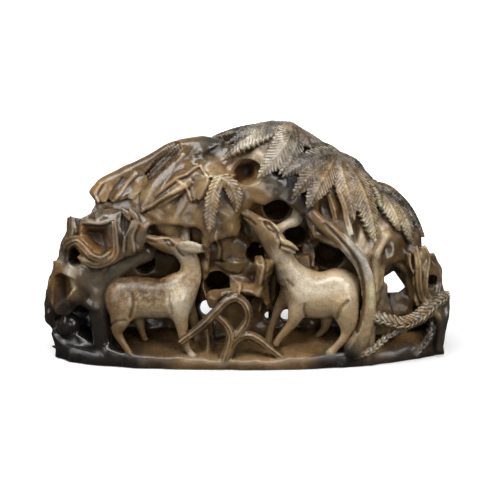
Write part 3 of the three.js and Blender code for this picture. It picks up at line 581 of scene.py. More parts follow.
# The skyline's rounded edge at the upper left.
SHOULDER = [(-54, -4, 60.8, 2.6), (-51, -4, 63.4, 3), (-46, -4, 66, 3.2), (-39, -4, 69.6, 3.2),
            (-33, -4, 73, 3.2), (-28, -4, 76, 3.2), (-22, -4, 77.6, 3.2), (-16, -4, 78.4, 3),
            (-11, -4, 77.4, 2.4)]
RIDGES = [
    [(-67, -10, 36.5, 2), (-66, -12, 40.5, 2.2), (-62.5, -13.5, 42, 2.3), (-59.2, -15, 39.3, 2.6),
     (-57, -17, 36.8, 2.2), (-53.5, -17.8, 35.4, 2), (-51, -18, 36.8, 1.4)],
    [(-48.6, -17.8, 49, 1.1), (-48.1, -18.3, 42, 1.4), (-48, -18.4, 38, 1.6), (-50, -18.4, 35, 1.8),
     (-54.5, -18, 33.2, 1.9), (-58.5, -17, 34, 1.6), (-61, -15.5, 36, 1.2)],
    [(22.4, -17.6, 57, 0.9), (23.6, -17.8, 53, 1.3), (26.4, -18.2, 49.2, 1.6), (29.8, -19, 46.2, 1.5),
     (33, -19.6, 43.4, 1.1)],
    [(32.6, -17, 60.5, 0.9), (34.6, -17.6, 55.4, 1.2), (35.6, -18.4, 50, 1.3), (37, -19.2, 45, 1.1)],
    [(29, -16, 59, 0.8), (30.2, -16, 55, 1), (31.4, -16.6, 50.6, 0.9)],
    [(61, -12.4, 39.4, 1.1), (62.2, -12.6, 33, 1.5), (62.4, -12.6, 27, 1.6), (63.4, -11.8, 21.5, 1.4),
     (66.2, -10, 17.6, 1.1)],
    [(64.4, -8.6, 39.6, 1.1), (66, -8, 35.5, 1.3), (65.2, -9.6, 30, 1.3), (65, -10.4, 24, 1.2),
     (67, -8.6, 20, 1)],
    [(67.8, -5.2, 37, 0.9), (70, -4.4, 31.5, 1.1), (70.7, -4, 27, 1.1), (69.8, -5.4, 22, 1)],
]

# Each limb is its stations and how far it is squeezed along Y.
LEFT_DEER = [
    ([(-45.3, -15, 24.9, 7.5), (-40, -15, 24.9, 7.7), (-32, -15, 24.3, 7.3), (-27, -15, 25, 7.2)], 0.8),
    ([(-26, -15, 27, 6.6), (-22, -15, 31.5, 4.7), (-21, -15, 36.5, 3.7), (-22.6, -15.2, 41, 3.5),
      (-25.5, -15.5, 44.2, 3.6), (-29.5, -16, 45, 3.1), (-34, -16.6, 46.5, 2.1),
      (-38.2, -17, 48.4, 1.2)], 0.85),
    ([(-24.8, -18, 45, 1.6), (-22, -18.4, 44.8, 2.4), (-18.4, -18.3, 44.2, 1.9),
      (-14, -17, 43.6, 0.4)], 0.6),
    ([(-24.5, -13, 46.5, 1.3), (-21, -11.5, 47.4, 1.6), (-17.5, -10.5, 47.8, 0.5)], 0.6),
    ([(-23, -15, 46.8, 1.8), (-23, -14.5, 50.5, 1.6), (-22.6, -14, 54.5, 1.7), (-24, -13, 58.5, 1.5)], 1),
    ([(-23.6, -14.5, 51.2, 1.2), (-27.6, -14.8, 52.2, 1.5)], 1),
    ([(-52, -14.5, 28, 1.6), (-53.3, -14, 24, 0.9)], 1),
    ([(-45.5, -17, 23, 5.4), (-47, -18.6, 16.5, 3.3), (-47.8, -19.4, 12.6, 1.8), (-45, -20, 7.6, 1.2),
      (-42.4, -20.4, 3.6, 1.1), (-40.6, -21.2, 2.9, 1.1)], 1),
    ([(-41.5, -12, 19, 3.6), (-40, -11, 13, 1.7), (-38.6, -10, 8.5, 1.1), (-37.4, -9.5, 5.6, 1.3)], 1),
    ([(-26.2, -17.8, 23.5, 4.6), (-24.6, -19.2, 17.5, 2.7), (-23.6, -20, 11, 1.7), (-22, -20.5, 6.5, 1.2),
      (-19.8, -21.2, 3.6, 1.3)], 1),
    ([(-22.8, -12, 21, 3.2), (-19.8, -11, 14, 1.6), (-18.6, -10.5, 6, 1.3)], 1),
]
RIGHT_DEER = [
    ([(32.6, -14, 26.6, 8.9), (27, -14, 25.2, 8.5), (21.5, -14, 25.2, 8.2)], 0.8),
    ([(21, -14, 27.5, 7.4), (15.8, -14.6, 33, 5.4), (12.8, -15.2, 38.5, 4.4), (10.6, -15.8, 43.5, 4.4),
      (8, -16.3, 48.2, 4.1), (4.8, -16.9, 52, 3.2), (1.2, -17.5, 55.3, 2.2), (-1.8, -18, 57.8, 1.5)], 0.85),
    ([(11.4, -19, 46.6, 1.9), (15, -19.3, 44.8, 2), (18.8, -18.2, 42.4, 0.5)], 0.6),
    ([(9.4, -17, 50, 2), (13.5, -15, 52.2, 1.6), (17.2, -13, 53.6, 2.4), (18.4, -11, 57, 2.3)], 1),
    ([(34.5, -16.4, 24, 6.2), (36.4, -18, 16.8, 3.8), (35.6, -18.6, 11.8, 1.9), (32.8, -19.4, 8, 1.4),
      (29.8, -20, 5.2, 1.5)], 1),
    ([(29.5, -10.5, 19, 3.4), (28.3, -10, 12, 1.6), (26.2, -9.6, 9.2, 1.2), (25, -9.4, 7.6, 1.3)], 1),
    ([(18.2, -16.6, 21, 3.7), (16.4, -17, 16.2, 2.1), (14.2, -17, 13.3, 1.6), (11.4, -17, 10, 1.2),
      (10.3, -17, 8, 1.3)], 1),
    ([(15, -11.5, 26, 3.2), (11.4, -11, 20, 1.9), (8.9, -11, 13.8, 1.3), (7.3, -11, 7.4, 1.4)], 1),
    ([(41, -13, 30, 1.7), (42, -13, 26, 1.1)], 1),
]
# Lines of the deer as seen x and height, their width, depth (raised below 0) and stain.
SCORED = [
    ([(-30.2, 42.3), (-28.8, 42), (-27.2, 40.3)], 0.55, 0.5, 1),
    ([(-30.2, 42.2), (-29.2, 40.6), (-27.2, 40.1)], 0.5, 0.4, 1),
    ([(-28.9, 41.3), (-28.4, 40.9)], 0.8, -0.35, 0.5),
    ([(-31.5, 43.4), (-28.6, 43.2), (-26, 41)], 0.6, -0.4, 0),
    ([(-38.6, 43.6), (-35.5, 42.1), (-33.4, 41.7)], 0.45, 0.4, 1),
    ([(-37.9, 44.7), (-37.3, 44.5)], 0.5, 0.4, 1),
    ([(-23, 40.1), (-19, 39.5), (-15.6, 39)], 0.8, 0.35, 0.1),
    ([(-26, 39.6), (-24.8, 37.6), (-23.4, 36.4)], 0.5, 0.4, 0.6),
    ([(-42.2, 22.2), (-41.7, 18), (-43.2, 13.5)], 0.8, 0.5, 0.35),
    ([(-50.3, 10.2), (-47.5, 12.2), (-44.5, 12.4)], 0.5, 0.3, 0.5),
    ([(-28.4, 23.5), (-28.6, 19), (-27.6, 15)], 0.8, 0.35, 0.2),
    ([(6, 49.2), (8.2, 48.2), (10.2, 45.6)], 0.6, 0.5, 0.9),
    ([(6.1, 48.8), (7, 46.6), (9.9, 45.3)], 0.5, 0.45, 0.9),
    ([(7.6, 47.4), (8.6, 46.4)], 0.9, -0.4, 0.3),
    ([(4.5, 50.5), (8.5, 49.6), (11, 46)], 0.6, -0.45, 0),
    ([(-2.8, 51.8), (0.5, 50.2), (2.6, 48.2)], 0.5, 0.4, 0.9),
    ([(-1.6, 53.4), (-0.8, 52.8)], 0.5, 0.4, 1),
    ([(12, 40.6), (15, 39.6), (18, 37.9)], 0.8, 0.7, 1),
    ([(10.4, 45), (11.6, 42), (11.4, 39.4)], 0.5, 0.5, 0.8),
    ([(36.2, 19.6), (33.2, 16.5), (32.4, 13.2)], 0.9, 0.45, 0.3),
    ([(20.6, 18.6), (20.2, 16), (21, 14)], 0.7, 0.3, 0.4),
    ([(14.2, 27.5), (16.4, 25.2)], 0.7, 0.3, 0.5),
]
# Folds of the rock, raised where depth is below 0. A raised fold is marked pale, partly as a rubbed edge and
# partly as a painted highlight; each fold also gets a painted shadow line below and right of it.
FOLDS = [
    ([(-23.6, 74.4), (-28, 69.5), (-33, 62.5), (-36.8, 56.8)], 0.7, -0.55),
    ([(-27, 64.6), (-33, 59.8), (-38, 54.2)], 0.6, -0.5),
    ([(-20.6, 57), (-22.4, 62.3), (-30, 58.6), (-38.4, 53.2)], 0.6, -0.5),
    ([(-22.4, 62.3), (-26.6, 65.4), (-22.6, 66.8), (-18.4, 70)], 0.6, -0.45),
    ([(-17.4, 70), (-14.6, 66), (-9, 65.6), (-4.8, 66.8)], 0.6, -0.5),
    ([(-46, 65.6), (-48.6, 62), (-51, 57.4)], 0.9, 0.6),
    ([(-40.8, 67.4), (-44.6, 63), (-48, 58.2)], 0.7, -0.55),
    ([(-54.6, 56.8), (-56, 60), (-53.6, 64)], 0.7, -0.5),
    ([(-60.6, 49), (-54, 48.4), (-50.4, 49.4)], 0.6, -0.45),
    ([(-46.6, 47), (-44.8, 43.6), (-45.2, 38.4)], 0.6, -0.5),
    ([(-40, 48.6), (-42, 44), (-41.2, 38)], 0.6, -0.45),
    ([(-19, 74), (-14, 75.4), (-9, 79)], 0.8, 0.6),
    ([(-12, 43.6), (-10.4, 39), (-11, 35.2)], 0.5, -0.4),
    ([(-6.4, 28.6), (-3, 25.6), (-3.4, 21.6)], 0.5, -0.4),
    ([(4, 40), (5.6, 33), (4.2, 26)], 0.6, -0.5),
    ([(22, 42), (24.4, 38), (23.6, 33)], 0.5, -0.45),
]
# Cut along the trunk's left side.
TRUNK_LINES = [
    ([(27.5, 48.6), (32.4, 43.6), (36.6, 38.6), (39.6, 34), (41.4, 28.5), (42, 22), (41.6, 15), (39.6, 8)],
     0.9, 0.6, 0.9),
    ([(31, 48.2), (36.4, 42.2), (40.4, 36.2), (43, 30), (44.2, 24)], 0.4, 0.25, 0.35),
    ([(35.4, 44.6), (39.8, 38.4), (42.9, 32), (44.6, 25), (44.8, 18)], 1.4, -0.1, -0.55),
]
STEMS = [
    [(-38, -10, 41, 4.2), (-46, -11, 37.5, 4.4), (-52.5, -12, 31, 4.6), (-54.5, -13, 22, 4.3),
     (-53.6, -14, 12, 4), (-52.5, -14, 3, 4.4)],
    seen([(50.3, -12, 44, 1.5), (48, -14, 40, 1.5), (46.6, -16, 36, 1.5), (46.2, -17, 30, 1.4),
          (46, -18, 24, 1.4)]),
    seen([(55, -6, 42, 1.8), (56, -6, 35, 1.8), (58.8, -7, 29, 1.7), (61, -8, 21, 1.8)]),
    seen([(47.5, -9, 37.2, 1.5), (52, -8, 35, 1.6), (55.5, -8, 33, 1.5), (57.5, -7.5, 31, 1.4)]),
    seen([(49.5, -5, 30.5, 1.2), (53, -5, 32.6, 1.2), (55.5, -5, 31, 1.2)]),
    seen([(66, -12, 13.5, 1.1), (68.3, -11, 15, 1.2), (70, -10, 13, 1.3), (70.9, -9, 8, 1.2),
          (70.6, -9, 1, 1.3)]),
]
TRUNK = seen([
    (23.2, -19, 52, 2.2), (25.5, -20.5, 49.3, 2.4), (29, -21, 46.5, 2.5), (33.5, -21, 42.3, 2.6),
    (37.5, -20.5, 38, 2.7), (40.5, -20, 34, 2.7), (42.8, -20, 28.5, 2.7), (43.6, -20, 23, 2.8),
    (43.8, -20, 18, 3), (43, -20, 12, 3.2), (41.2, -20, 6, 3.5), (38.6, -19.5, 1, 4),
])
BARK = 2.5  # the usual radius of a pine branch, in mm
BARK_SPACING = 2.1
BARK_LEAN = 2.0
PINE_BRANCHES = [
    [(45.5, -20, 13.5, 0.9 * BARK), (49, -20, 12.6, BARK), (52.5, -20, 11.6, BARK), (56, -19.5, 11, BARK),
     (60, -16, 12, BARK), (63.5, -13.5, 14, 1.1 * BARK), (66.8, -10.5, 16.8, 1.1 * BARK),
     (69.8, -7.5, 19.2, BARK), (73.2, -4, 21.2, 0.7 * BARK)],
    [(57, -17, 8.5, 0.55 * BARK), (54, -18, 7.6, 0.5 * BARK), (50.5, -19, 5.6, 0.55 * BARK),
     (47.6, -19.5, 3, 0.55 * BARK), (44.5, -20, 0.3, 0.55 * BARK), (40, -21, -1.2, 0.5 * BARK)],
    [(68.6, -7.5, 13, 0.65 * BARK), (67.8, -8, 8, 0.7 * BARK), (65.5, -9, 3.6, 0.7 * BARK),
     (62.2, -10.5, -0.4, 0.75 * BARK)],
]
RIB = 1.9  # the usual radius of a ribbon root, in mm
ROOT_SPACING = 1.15
ROOTS = [
    [(-24.4, -22, 10.2, 0.7 * RIB), (-16.8, -22.3, 16.2, RIB), (-11.7, -22, 21.4, RIB),
     (-8, -21.5, 25, RIB), (-4.6, -21, 26.3, RIB), (-1.6, -21, 24.3, RIB), (-0.2, -21, 20.8, 1.05 * RIB),
     (-0.8, -21.5, 16.8, RIB), (-4, -22, 12.5, RIB)],
    [(-12.2, -22, 20.6, 0.8 * RIB), (-8, -22, 16.4, 0.9 * RIB), (-6.4, -22.2, 12.3, RIB),
     (-7.2, -22.2, 7.6, RIB), (-8.6, -22, 3, 1.2 * RIB)],
    [(-8, -22, 4.4, RIB), (-5.4, -22.2, 9.4, 0.9 * RIB), (-2.2, -22.2, 12, 0.9 * RIB),
     (1, -22.2, 12.4, 0.9 * RIB), (4.8, -22.2, 10.2, 0.9 * RIB), (8.4, -22, 7, 0.8 * RIB),
     (12.4, -21.6, 3.6, 0.7 * RIB)],
]
OVERLAP = LEAF_PROUD + 1.1
# Each spray: its apex, its leaflets as middle, tip and width, and how far it stands out.
VEINED_SPRAYS = [
    ((13.5, 85.2), [((0, 85), (-13.5, 80.4), 8)], LEAF_PROUD),
    ((14, 83.6), [((4, 82.4), (-7.3, 76.3), 7), ((2, 79), (-9.2, 70.6), 8), ((16, 76), (10.5, 66.3), 8),
      ((18, 80), (21.5, 75.5), 7), ((12, 76), (3.4, 65), 11)], OVERLAP),
    ((22, 77.5), [((31, 75), (43, 67.5), 7)], LEAF_PROUD),
    ((34, 75.4), [((39, 72.6), (43, 68), 5.5)], LEAF_PROUD),
    ((30.7, 72.8), [((22, 71.6), (11.6, 65.3), 9), ((22.5, 67), (15.2, 57.2), 9), ((41.5, 65),
       (47.8, 54), 8.5), ((34.6, 62), (37.4, 49.5), 9.5), ((39.5, 60), (45.5, 41), 12), ((25.5, 64),
       (20.4, 53.6), 11)], OVERLAP),
    ((44.5, 64.6), [((50, 63), (57, 59), 7), ((55.4, 57.6), (63.2, 43.2), 10), ((50.5, 55),
       (54.5, 45.5), 9), ((54, 53.5), (59.3, 40.5), 10)], LEAF_PROUD),
    ((-9.5, 65), [((-13, 57), (-14, 44.3), 6), ((-5, 60.5), (-4, 52.5), 6.5)], OVERLAP),
]
BACK_SPRAYS = (-38, 2, 38)  # the x of each spray on the back
# Ridges between flat faces of the rock: start, middle, end, width and how far they stand out.
FACETS = [
    ((16, 85), (22, 81.6), (28, 77.5), 7, LEAF_PROUD),
    ((-23.5, 76), (-28, 69.5), (-36.8, 56.5), 8, 1.3),
    ((-20, 66.3), (-28.5, 63.2), (-38.2, 53.6), 6, 2.0),
    ((-21, 64), (-29, 59), (-38.5, 52.9), 5, 1.9),
    ((-18.5, 65.5), (-19.3, 61), (-19.8, 56.5), 5, 1.2),
    ((-15, 66), (-16, 62), (-18, 57), 5, 1.5),
    ((-46, 66.4), (-48.6, 62.8), (-51.5, 59), 5, 1.4),
    ((-38, 71), (-43.2, 64), (-47.8, 57.3), 9, 1.7),
    ((-51.5, 64.5), (-53.8, 61.5), (-55.4, 58), 5, 1.2),
    ((-47, 52.4), (-54, 50.9), (-61, 49.4), 6, 1.8),
    ((-45, 53.6), (-43.6, 51.6), (-42.4, 49.3), 2.6, 2.4),
    ((-42.2, 53.4), (-40.5, 51), (-39, 48.6), 2.6, 2.4),
    ((-46.5, 52.2), (-48, 50.8), (-50, 49.4), 2.2, 2.4),
]
BLADE = ((-24.6, 78.8), (-31.2, 68.6), (-38.6, 53.8), 10.5)
HATCH_ENDS = ((-25.2, 78.2), (-36.6, 66.4))
# Each pair of ribs on the back: its x and how far it sways.
BACK_RIBS = ((-66, 2), (-31, -3), (4, 3), (39, -3), (66, -2))
RIB_TOP = 0.72
ROOT_SPREAD, ROOT_RISE = 4.5, 8
WAVES = ((19, 0.35), (11, 0.25), (7, 0.15))  # length and height in mm


def grooved(spacing, depth):
    """Lengthwise grooves."""
    return lambda along, across: -depth * (0.5 + 0.5 * np.cos(2 * np.pi * across / spacing)) ** 2


def barked(along, across):
    """The feathered hatch of pine bark: slanting cuts that meet at a ridge."""
    slant = (along + BARK_LEAN * np.abs(across)) / BARK_SPACING
    return 0.45 - 0.95 * (slant % 1) - 0.45 * np.exp(-((across / 0.4) ** 2))


def back_ribs():
    """Rooted ribs of rock that climb the back in pairs between its grottoes, and get thinner."""
    for x, lean in BACK_RIBS:
        top = RIB_TOP * float(skyline(x))
        for side, share in ((-1, 1), (1, 0.7)):
            path = []
            for height in np.linspace(2, top * share, 7):
                spread = ROOT_SPREAD * math.exp(-height / ROOT_RISE) + 1
                across = x + side * spread + lean * math.sin(height / ROOT_RISE)
                place, _ = on_dome(across, height, 1, -1.3)
                path.append((*place, 2.1 - 1.2 * height / (top + 1)))
            yield path


def blade_hatch():
    """The short cuts across the blade's upper left half, in seen x and height."""
    first, last = np.array(HATCH_ENDS)
    lines = []
    for share in np.linspace(0, 1, 15):
        middle = first + (last - first) * share
        reach = (0.9 + 1.9 * math.sin(math.pi * (0.15 + 0.75 * share))) * np.array((0.3, -0.95))
        lines.append([middle - reach, middle + reach])
    aside = np.array((0.72, -0.69))
    return lines + [[first + aside * s, last + aside * s] for s in (-1.1, 0.1, 1.3)]


def undulate(field):
    """Slow hand-worked waves in the rock."""
    X, Y, Z = np.meshgrid(*AXES, indexing="ij", sparse=True)
    waves = np.zeros_like(field.distance)
    for wave, height in WAVES:
        for _ in range(2):
            way = rng.normal(size=3)
            way *= 2 * np.pi / wave / np.linalg.norm(way)
            turn = rng.uniform(0, 2 * np.pi)
            bend = 1.3 * np.sin(way[1] * X + way[2] * Y - way[0] * Z)
            place = way[0] * X + way[1] * Y + way[2] * Z
            waves += height * np.sin(place + turn + bend).astype(np.float32)
    field.distance += waves * np.clip((Z - 2) / 9, 0.35, 1)


def carve():
    """The whole stone. The second number of each add and cut is how widely it blends, in mm."""
    stone = Field(GRID_LOW, GRID_HIGH)
    stone.add(dome(), 0)
    stone.skin = stone.distance.copy()
    for outline, wall in FRONT_RECESSES:
        stone.cut(recess(outline, -1, wall), 2.0)
    for outline, wall in BACK_RECESSES:
        stone.cut(recess(outline, 1, wall), 3.0)
    for corners in ROCKS:
        stone.add(block(seen(corners), 0.35), 0.5)
    for shape in BUMPS:
        stone.add(ellipsoid(*shape), 1.0)
    for shape in HOLLOWS:
        stone.cut(ellipsoid(*shape), 0.5)
    ground = Field(*GROUND_BOX)
    ground.add(dome(), 0)
    _, place = ground.window(*GROUND_BOX)
    ground.distance = soft_max(ground.distance, block(GROUND)[2](*place), 4.0)
    stone.merge(ground, 1.5, ROCK)
    for outline in SIDE_CUTS:
        stone.cut(block([(x, y, z) for x, z in outline for y in (-BEYOND, BEYOND)], 0.4), 0.6)
    undulate(stone)
    for corners in POCKETS:
        rim = [(x, POCKET_FRONT, height) for x, _, height in corners[:6]]
        stone.cut(block(seen(rim + corners), 0.3), 0.3)
    for shape in DRILLED:
        stone.cut(drilled(*shape), 0.9)
    for outline, wall in BACK_RECESSES:
        for x, z in outline:
            wide, tall = rng.uniform(3, 5, 2)
            stone.cut(ellipsoid(x, BACK_DEPTH, max(z, 9), wide, 8, tall), 2.0)
    for path in back_ribs():
        stone.add(limb(path, 1, grooved(1.7, 0.4)), 1.5)
    stone.cut(block(seen([(x, y, height) for x, height in WINDOW for y in (-25, 30)]), 0.3), 0.4)
    stone.add(limb(seen(SHOULDER)), 4)
    for stations in RIDGES:
        stone.add(limb(seen(stations), 1, grooved(1.5, 0.45)), 0.5)
    for stations in STEMS:
        stone.add(limb(stations), 1.2)
    stone.add(limb(TRUNK, 0.8, grooved(3.2, 0.25)), 0.5)
    for stations in PINE_BRANCHES:
        stone.add(limb(seen(stations), 1, barked, BARK_LEAN), 0.5, WOOD)
    for stations in ROOTS:
        stone.add(limb(stations, 1, grooved(ROOT_SPACING, 0.45)), 0.4, ROOT)
    for start, middle, end, width, lift in FACETS:
        stone.add(leaflet(start, middle, end, width, -1, lift, False), 0.3)
    stone.add(leaflet(*BLADE, -1, 2.2, True, 0.55), 0.3, LEAF)
    for apex, leaflets, lift in VEINED_SPRAYS:
        for middle, tip, width in leaflets:
            stone.add(leaflet(apex, middle, tip, width, -1, lift), 0.15, LEAF)
    for x in BACK_SPRAYS:
        crown = float(skyline(x)) - 5
        for across in (-17, 0, 17):
            tip = (np.clip(x + across, -64, 62), crown - 26 + abs(across) * 0.75)
            middle = ((x + tip[0]) / 2, (crown + tip[1]) / 2)
            stone.add(leaflet((x, crown), middle, tip, 10, 1), 0.15, LEAF)
    for limbs in (LEFT_DEER, RIGHT_DEER):
        shapes = [limb(stations, flat) for stations, flat in limbs]
        lows, highs, _ = zip(*shapes)
        deer = Field(np.min(lows, axis=0), np.max(highs, axis=0))
        for n, shape in enumerate(shapes):
            slight = 2 <= n <= 6  # the ears and what is as thin stay crisp
            deer.add(shape, 0.8 if slight else 2.5)
        stone.merge(deer, 0.4, DEER)
    for line, wide, depth in FOLDS:
        # Raised folds are marked pale, partly rubbed edge and partly painted highlight; cut folds get their
        # stain.
        stone.score(line, wide, depth, ROCK, -0.9 if depth < 0 else 0.6)
        # A painted shadow line, cut shallow below and right of the fold.
        stone.score([(x + 0.85, height - 0.7) for x, height in line], 0.5, 0.25, ROCK, 0.55)
    for line, wide, depth, line_tone in TRUNK_LINES:
        stone.score(line, wide, depth, ROCK, line_tone)
    for line in blade_hatch():
        for label in (ROCK, LEAF):
            stone.score(line, 0.42, 0.45, label, 0.9)
    for line, wide, depth, line_tone in SCORED:
        stone.score(line, wide, depth, DEER, line_tone)
    stone.distance = soft_max(stone.distance, -AXES[2][None, None, :], 0.6)
    return stone


def blurred(values, radius):
    """A box blur, run three times, that reaches about radius mm."""
    n = max(1, int(round(radius / STEP)))
    out = values.astype(np.float32)
    for axis in range(3):
        padded = np.concatenate((np.repeat(np.take(out, [0], axis), n + 1, axis), out,
                                 np.repeat(np.take(out, [-1], axis), n, axis)), axis)
        total = np.cumsum(padded, axis=axis, dtype=np.float64)
        size = out.shape[axis]
        above = np.take(total, range(2 * n + 1, 2 * n + 1 + size), axis)
        below = np.take(total, range(0, size), axis)
        out = ((above - below) / (2 * n + 1)).astype(np.float32)
    return out


def eased(values):
    """The grid's values with each one shared a little with its neighbours."""
    for axis in range(3):
        beyond = np.concatenate((np.take(values, [0], axis), values, np.take(values, [-1], axis)), axis)
        before = np.take(beyond, range(0, values.shape[axis]), axis)
        after = np.take(beyond, range(2, values.shape[axis] + 2), axis)
        values = 0.7 * values + 0.15 * (before + after)
    return values


def sampled(values, points):
    """The grid's values at points in drawn mm."""
    place = (points - GRID_LOW) / STEP
    low = np.clip(np.floor(place).astype(int), 0, COUNT - 2)
    share = place - low
    found = 0
    for corner in np.ndindex(2, 2, 2):
        weight = np.prod(np.where(corner, share, 1 - share), axis=1)
        index = low + corner
        found = found + weight * values[index[:, 0], index[:, 1], index[:, 2]]
    return found


def meshed(stone):
    """The largest closed surface as one mesh, in cells of the grid, thinned where it is smooth."""
    grid = openvdb.FloatGrid(background=FAR)
    grid.copyFromArray(np.ascontiguousarray(np.clip(stone.distance, -FAR, FAR), dtype=np.float32))
    points, quads = grid.convertToQuads(isovalue=0)
    group = np.arange(len(points))
    edges = np.concatenate((quads[:, :2], quads[:, 1:3], quads[:, 2:]))
    while True:
        least = np.minimum(group[edges[:, 0]], group[edges[:, 1]])
        before = group.copy()
        np.minimum.at(group, edges[:, 0], least)
        np.minimum.at(group, edges[:, 1], least)
        group = group[group]
        if (group == before).all():
            break
    whole = group == np.bincount(group).argmax()
    quads = (np.cumsum(whole) - 1)[quads[whole[quads[:, 0]]]]
    points = points[whole]
    mesh = bpy.data.meshes.new("carved_stone")
    mesh.from_pydata(points.tolist(), [], quads.tolist())
    full = bpy.data.objects.new("full", mesh)
    bpy.context.scene.collection.objects.link(full)
    thinner = full.modifiers.new("thinner", "DECIMATE")
    thinner.ratio = min(1.0, MOST_TRIANGLES / (2 * len(quads)))
    found = bpy.data.meshes.new_from_object(full.evaluated_get(bpy.context.evaluated_depsgraph_get()))
    bpy.data.objects.remove(full)
    return found


def ripple(points, wave, seed):
    """A smooth random number at each point, about -1 to 1."""
    chance = np.random.default_rng(seed)
    total = 0
    for _ in range(4):
        way = chance.normal(size=3)
        way *= 2 * np.pi / wave / np.linalg.norm(way) * chance.uniform(0.7, 1.4)
        turn = chance.uniform(0, 6.28)
        total = total + np.sin(points @ way + turn + 1.5 * np.sin(points @ np.roll(way, 1)))
    return total / 2.5


# Colours of the stone, linear.
HONEY = (0.205, 0.132, 0.062)
TAN = (0.32, 0.222, 0.122)
CREAM = (0.56, 0.43, 0.275)
WHITE = (0.68, 0.61, 0.50)
OLIVE = (0.12, 0.088, 0.045)
GREY = (0.15, 0.135, 0.112)
SLATE = (0.06, 0.06, 0.055)
BLACK = (0.010, 0.010, 0.011)
AMBER = (0.26, 0.145, 0.055)
BROWN = (0.105, 0.063, 0.028)
# Where each colour lies: x, y and seen height, its reach in mm and its weight. The deer's have z.
ZONES = {
    HONEY: [(-45, -9, 64, 12, 1), (-30, -12, 70, 9, 0.9), (-5, -15, 62, 8, 1), (8, -8, 24, 6, 1.4),
        (66, -9, 32, 6, 1.6), (0, -20, 0, 14, 1.4), (15, -16, 5, 8, 1.4), (29, -17, 54, 4, 4),
        (0, 20, 34, 40, 0.5)],
    TAN: [(-22, -15, 62, 12, 1), (-30, -18, 56, 8, 1), (-52, -11, 62, 6, 0.8), (-20, -14, 52, 5, 1.4),
        (-12, -13, 39, 6, 2), (-3, -13, 26, 6, 1.8), (29, -15, 67, 6, 2), (38, -15, 58, 8, 1.6),
        (57, -17, 13, 7, 2), (5, -24, -5, 8, 1.4), (-20, -24, -6, 8, 1.6), (45, 20, 34, 18, 0.6),
        (-56, 15, 32, 9, 1.2), (2, 16, 82, 8, 1.6)],
    # The CREAM zone at (-40, -12, 60) is a painted highlight on the side of a blade.
    CREAM: [(-12, -15, 68, 4.5, 2.5), (-40, -12, 60, 3, 2), (43, -14, 47, 6, 1.8), (37, -15, 64, 4, 1.6),
        (50, -9, 60, 6, 1.6), (55, -10, 52, 5, 1.8), (43, -20, 24, 6, 2), (41, -20, 10, 8, 2.6),
        (63, -11, 36, 3, 2), (70, -8, 19, 5, 2.4), (20, 18, 64, 9, 1.4), (28, 21, 26, 6, 1.2),
        (-38, 18, 62, 6, 1.6)],
    # The first WHITE zone, on the left rock's upward facets, is a painted highlight.
    WHITE: [(-65, -10.5, 32.4, 2.8, 6), (3, -13, 80, 6, 5), (10, -16, 74, 7, 4), (40, -20, 38, 4, 6),
        (42.6, -21, 32, 3, 9), (35, -20, 43, 3, 5), (17, -13, 49, 3, 4)],
    OLIVE: [(-54, -18, 35, 3, 4), (-49, -18, 42, 2.5, 3), (-66, -8, 46, 7, 1.2), (2, -10, 33, 6, 1.2),
        (-30, 20, 54, 18, 0.6), (44, 16, 54, 7, 1.4)],
    GREY: [(-53, -14, 51.5, 5, 2.2), (-50, -10, 26, 8, 2.4), (-43, -9, 36, 6, 2), (-42, -18, 44, 4, 1.2),
        (10, -4, 87, 5, 2), (27, -10, 78, 6, 2.4), (37, -8, 71, 6, 1.8), (50, -10, 22, 4, 2.4),
        (70, -5, 26, 4, 2.4), (32, -4, 40, 7, 1.4), (27, -6, 45, 5, 2), (5, 22, 9, 14, 0.9),
        (62, 9, 22, 8, 1.6)],
    SLATE: [(-13, -12, 80, 6, 2), (-9, -8, 83, 5, 6), (2, -5, 86.5, 5, 6), (14, -16, 68, 4, 3),
        (20, -18, 56, 4, 3), (42, -4, 73, 4, 2.4), (45, -4, 66, 3, 4), (62, -5, 52, 4, 3),
        (73, -3, 10, 6, 3), (60, -18, -3, 8, 2.4), (-30, 22, 18, 8, 1.4), (-64, 8, 18, 7, 2)],
    BLACK: [(-66, -9, 8, 11, 5), (-60, -14, -3, 11, 5), (-50, -12, 8, 9, 2.4), (-17, -2, 20, 6, 3),
        (-4, -8, 84.8, 3.6, 12), (6, -5, 87.5, 3, 10), (20, -14, 77.5, 4.6, 12), (14, -15, 62.5, 4.6, 9),
        (56, -7, 59.5, 3.5, 10), (58, -7, 30, 3.5, 5), (36, -24, -5, 7, 6), (-45, -22, -6, 9, 4)],
    AMBER: [(-55, -13, 43, 6, 2.4), (-70, -5, 24, 7, 1.6), (4, -14, 73, 6, 1.8), (-1, -16, 72, 5, 5),
        (56, -10, 6, 6, 2), (4, -10, 58, 5, 1.6), (-14, 20, 46, 7, 1.4)],
    BROWN: [(-45, -11, 55.5, 4, 1.6), (-31, -14, 73, 4, 2.4), (-8, -20, 14, 10, 1.2), (18, -8, 83, 6, 2),
        (20, -18, 66, 6, 2.4), (-13.4, -17, 51, 3, 4), (-4.6, -17, 57, 2.4, 3), (12, -15, 64.5, 2.6, 4),
        (16, -17, 58, 2.6, 4), (36, -14, 52, 4, 1.2), (60, -8, 42, 4, 2.4), (47.6, -15, 34, 3, 6),
        (53, -5, 38, 5, 6), (56, -4, 20, 5, 2.4), (-35, -18, -2, 12, 1.6)],
}
START_WEIGHT = 0.12
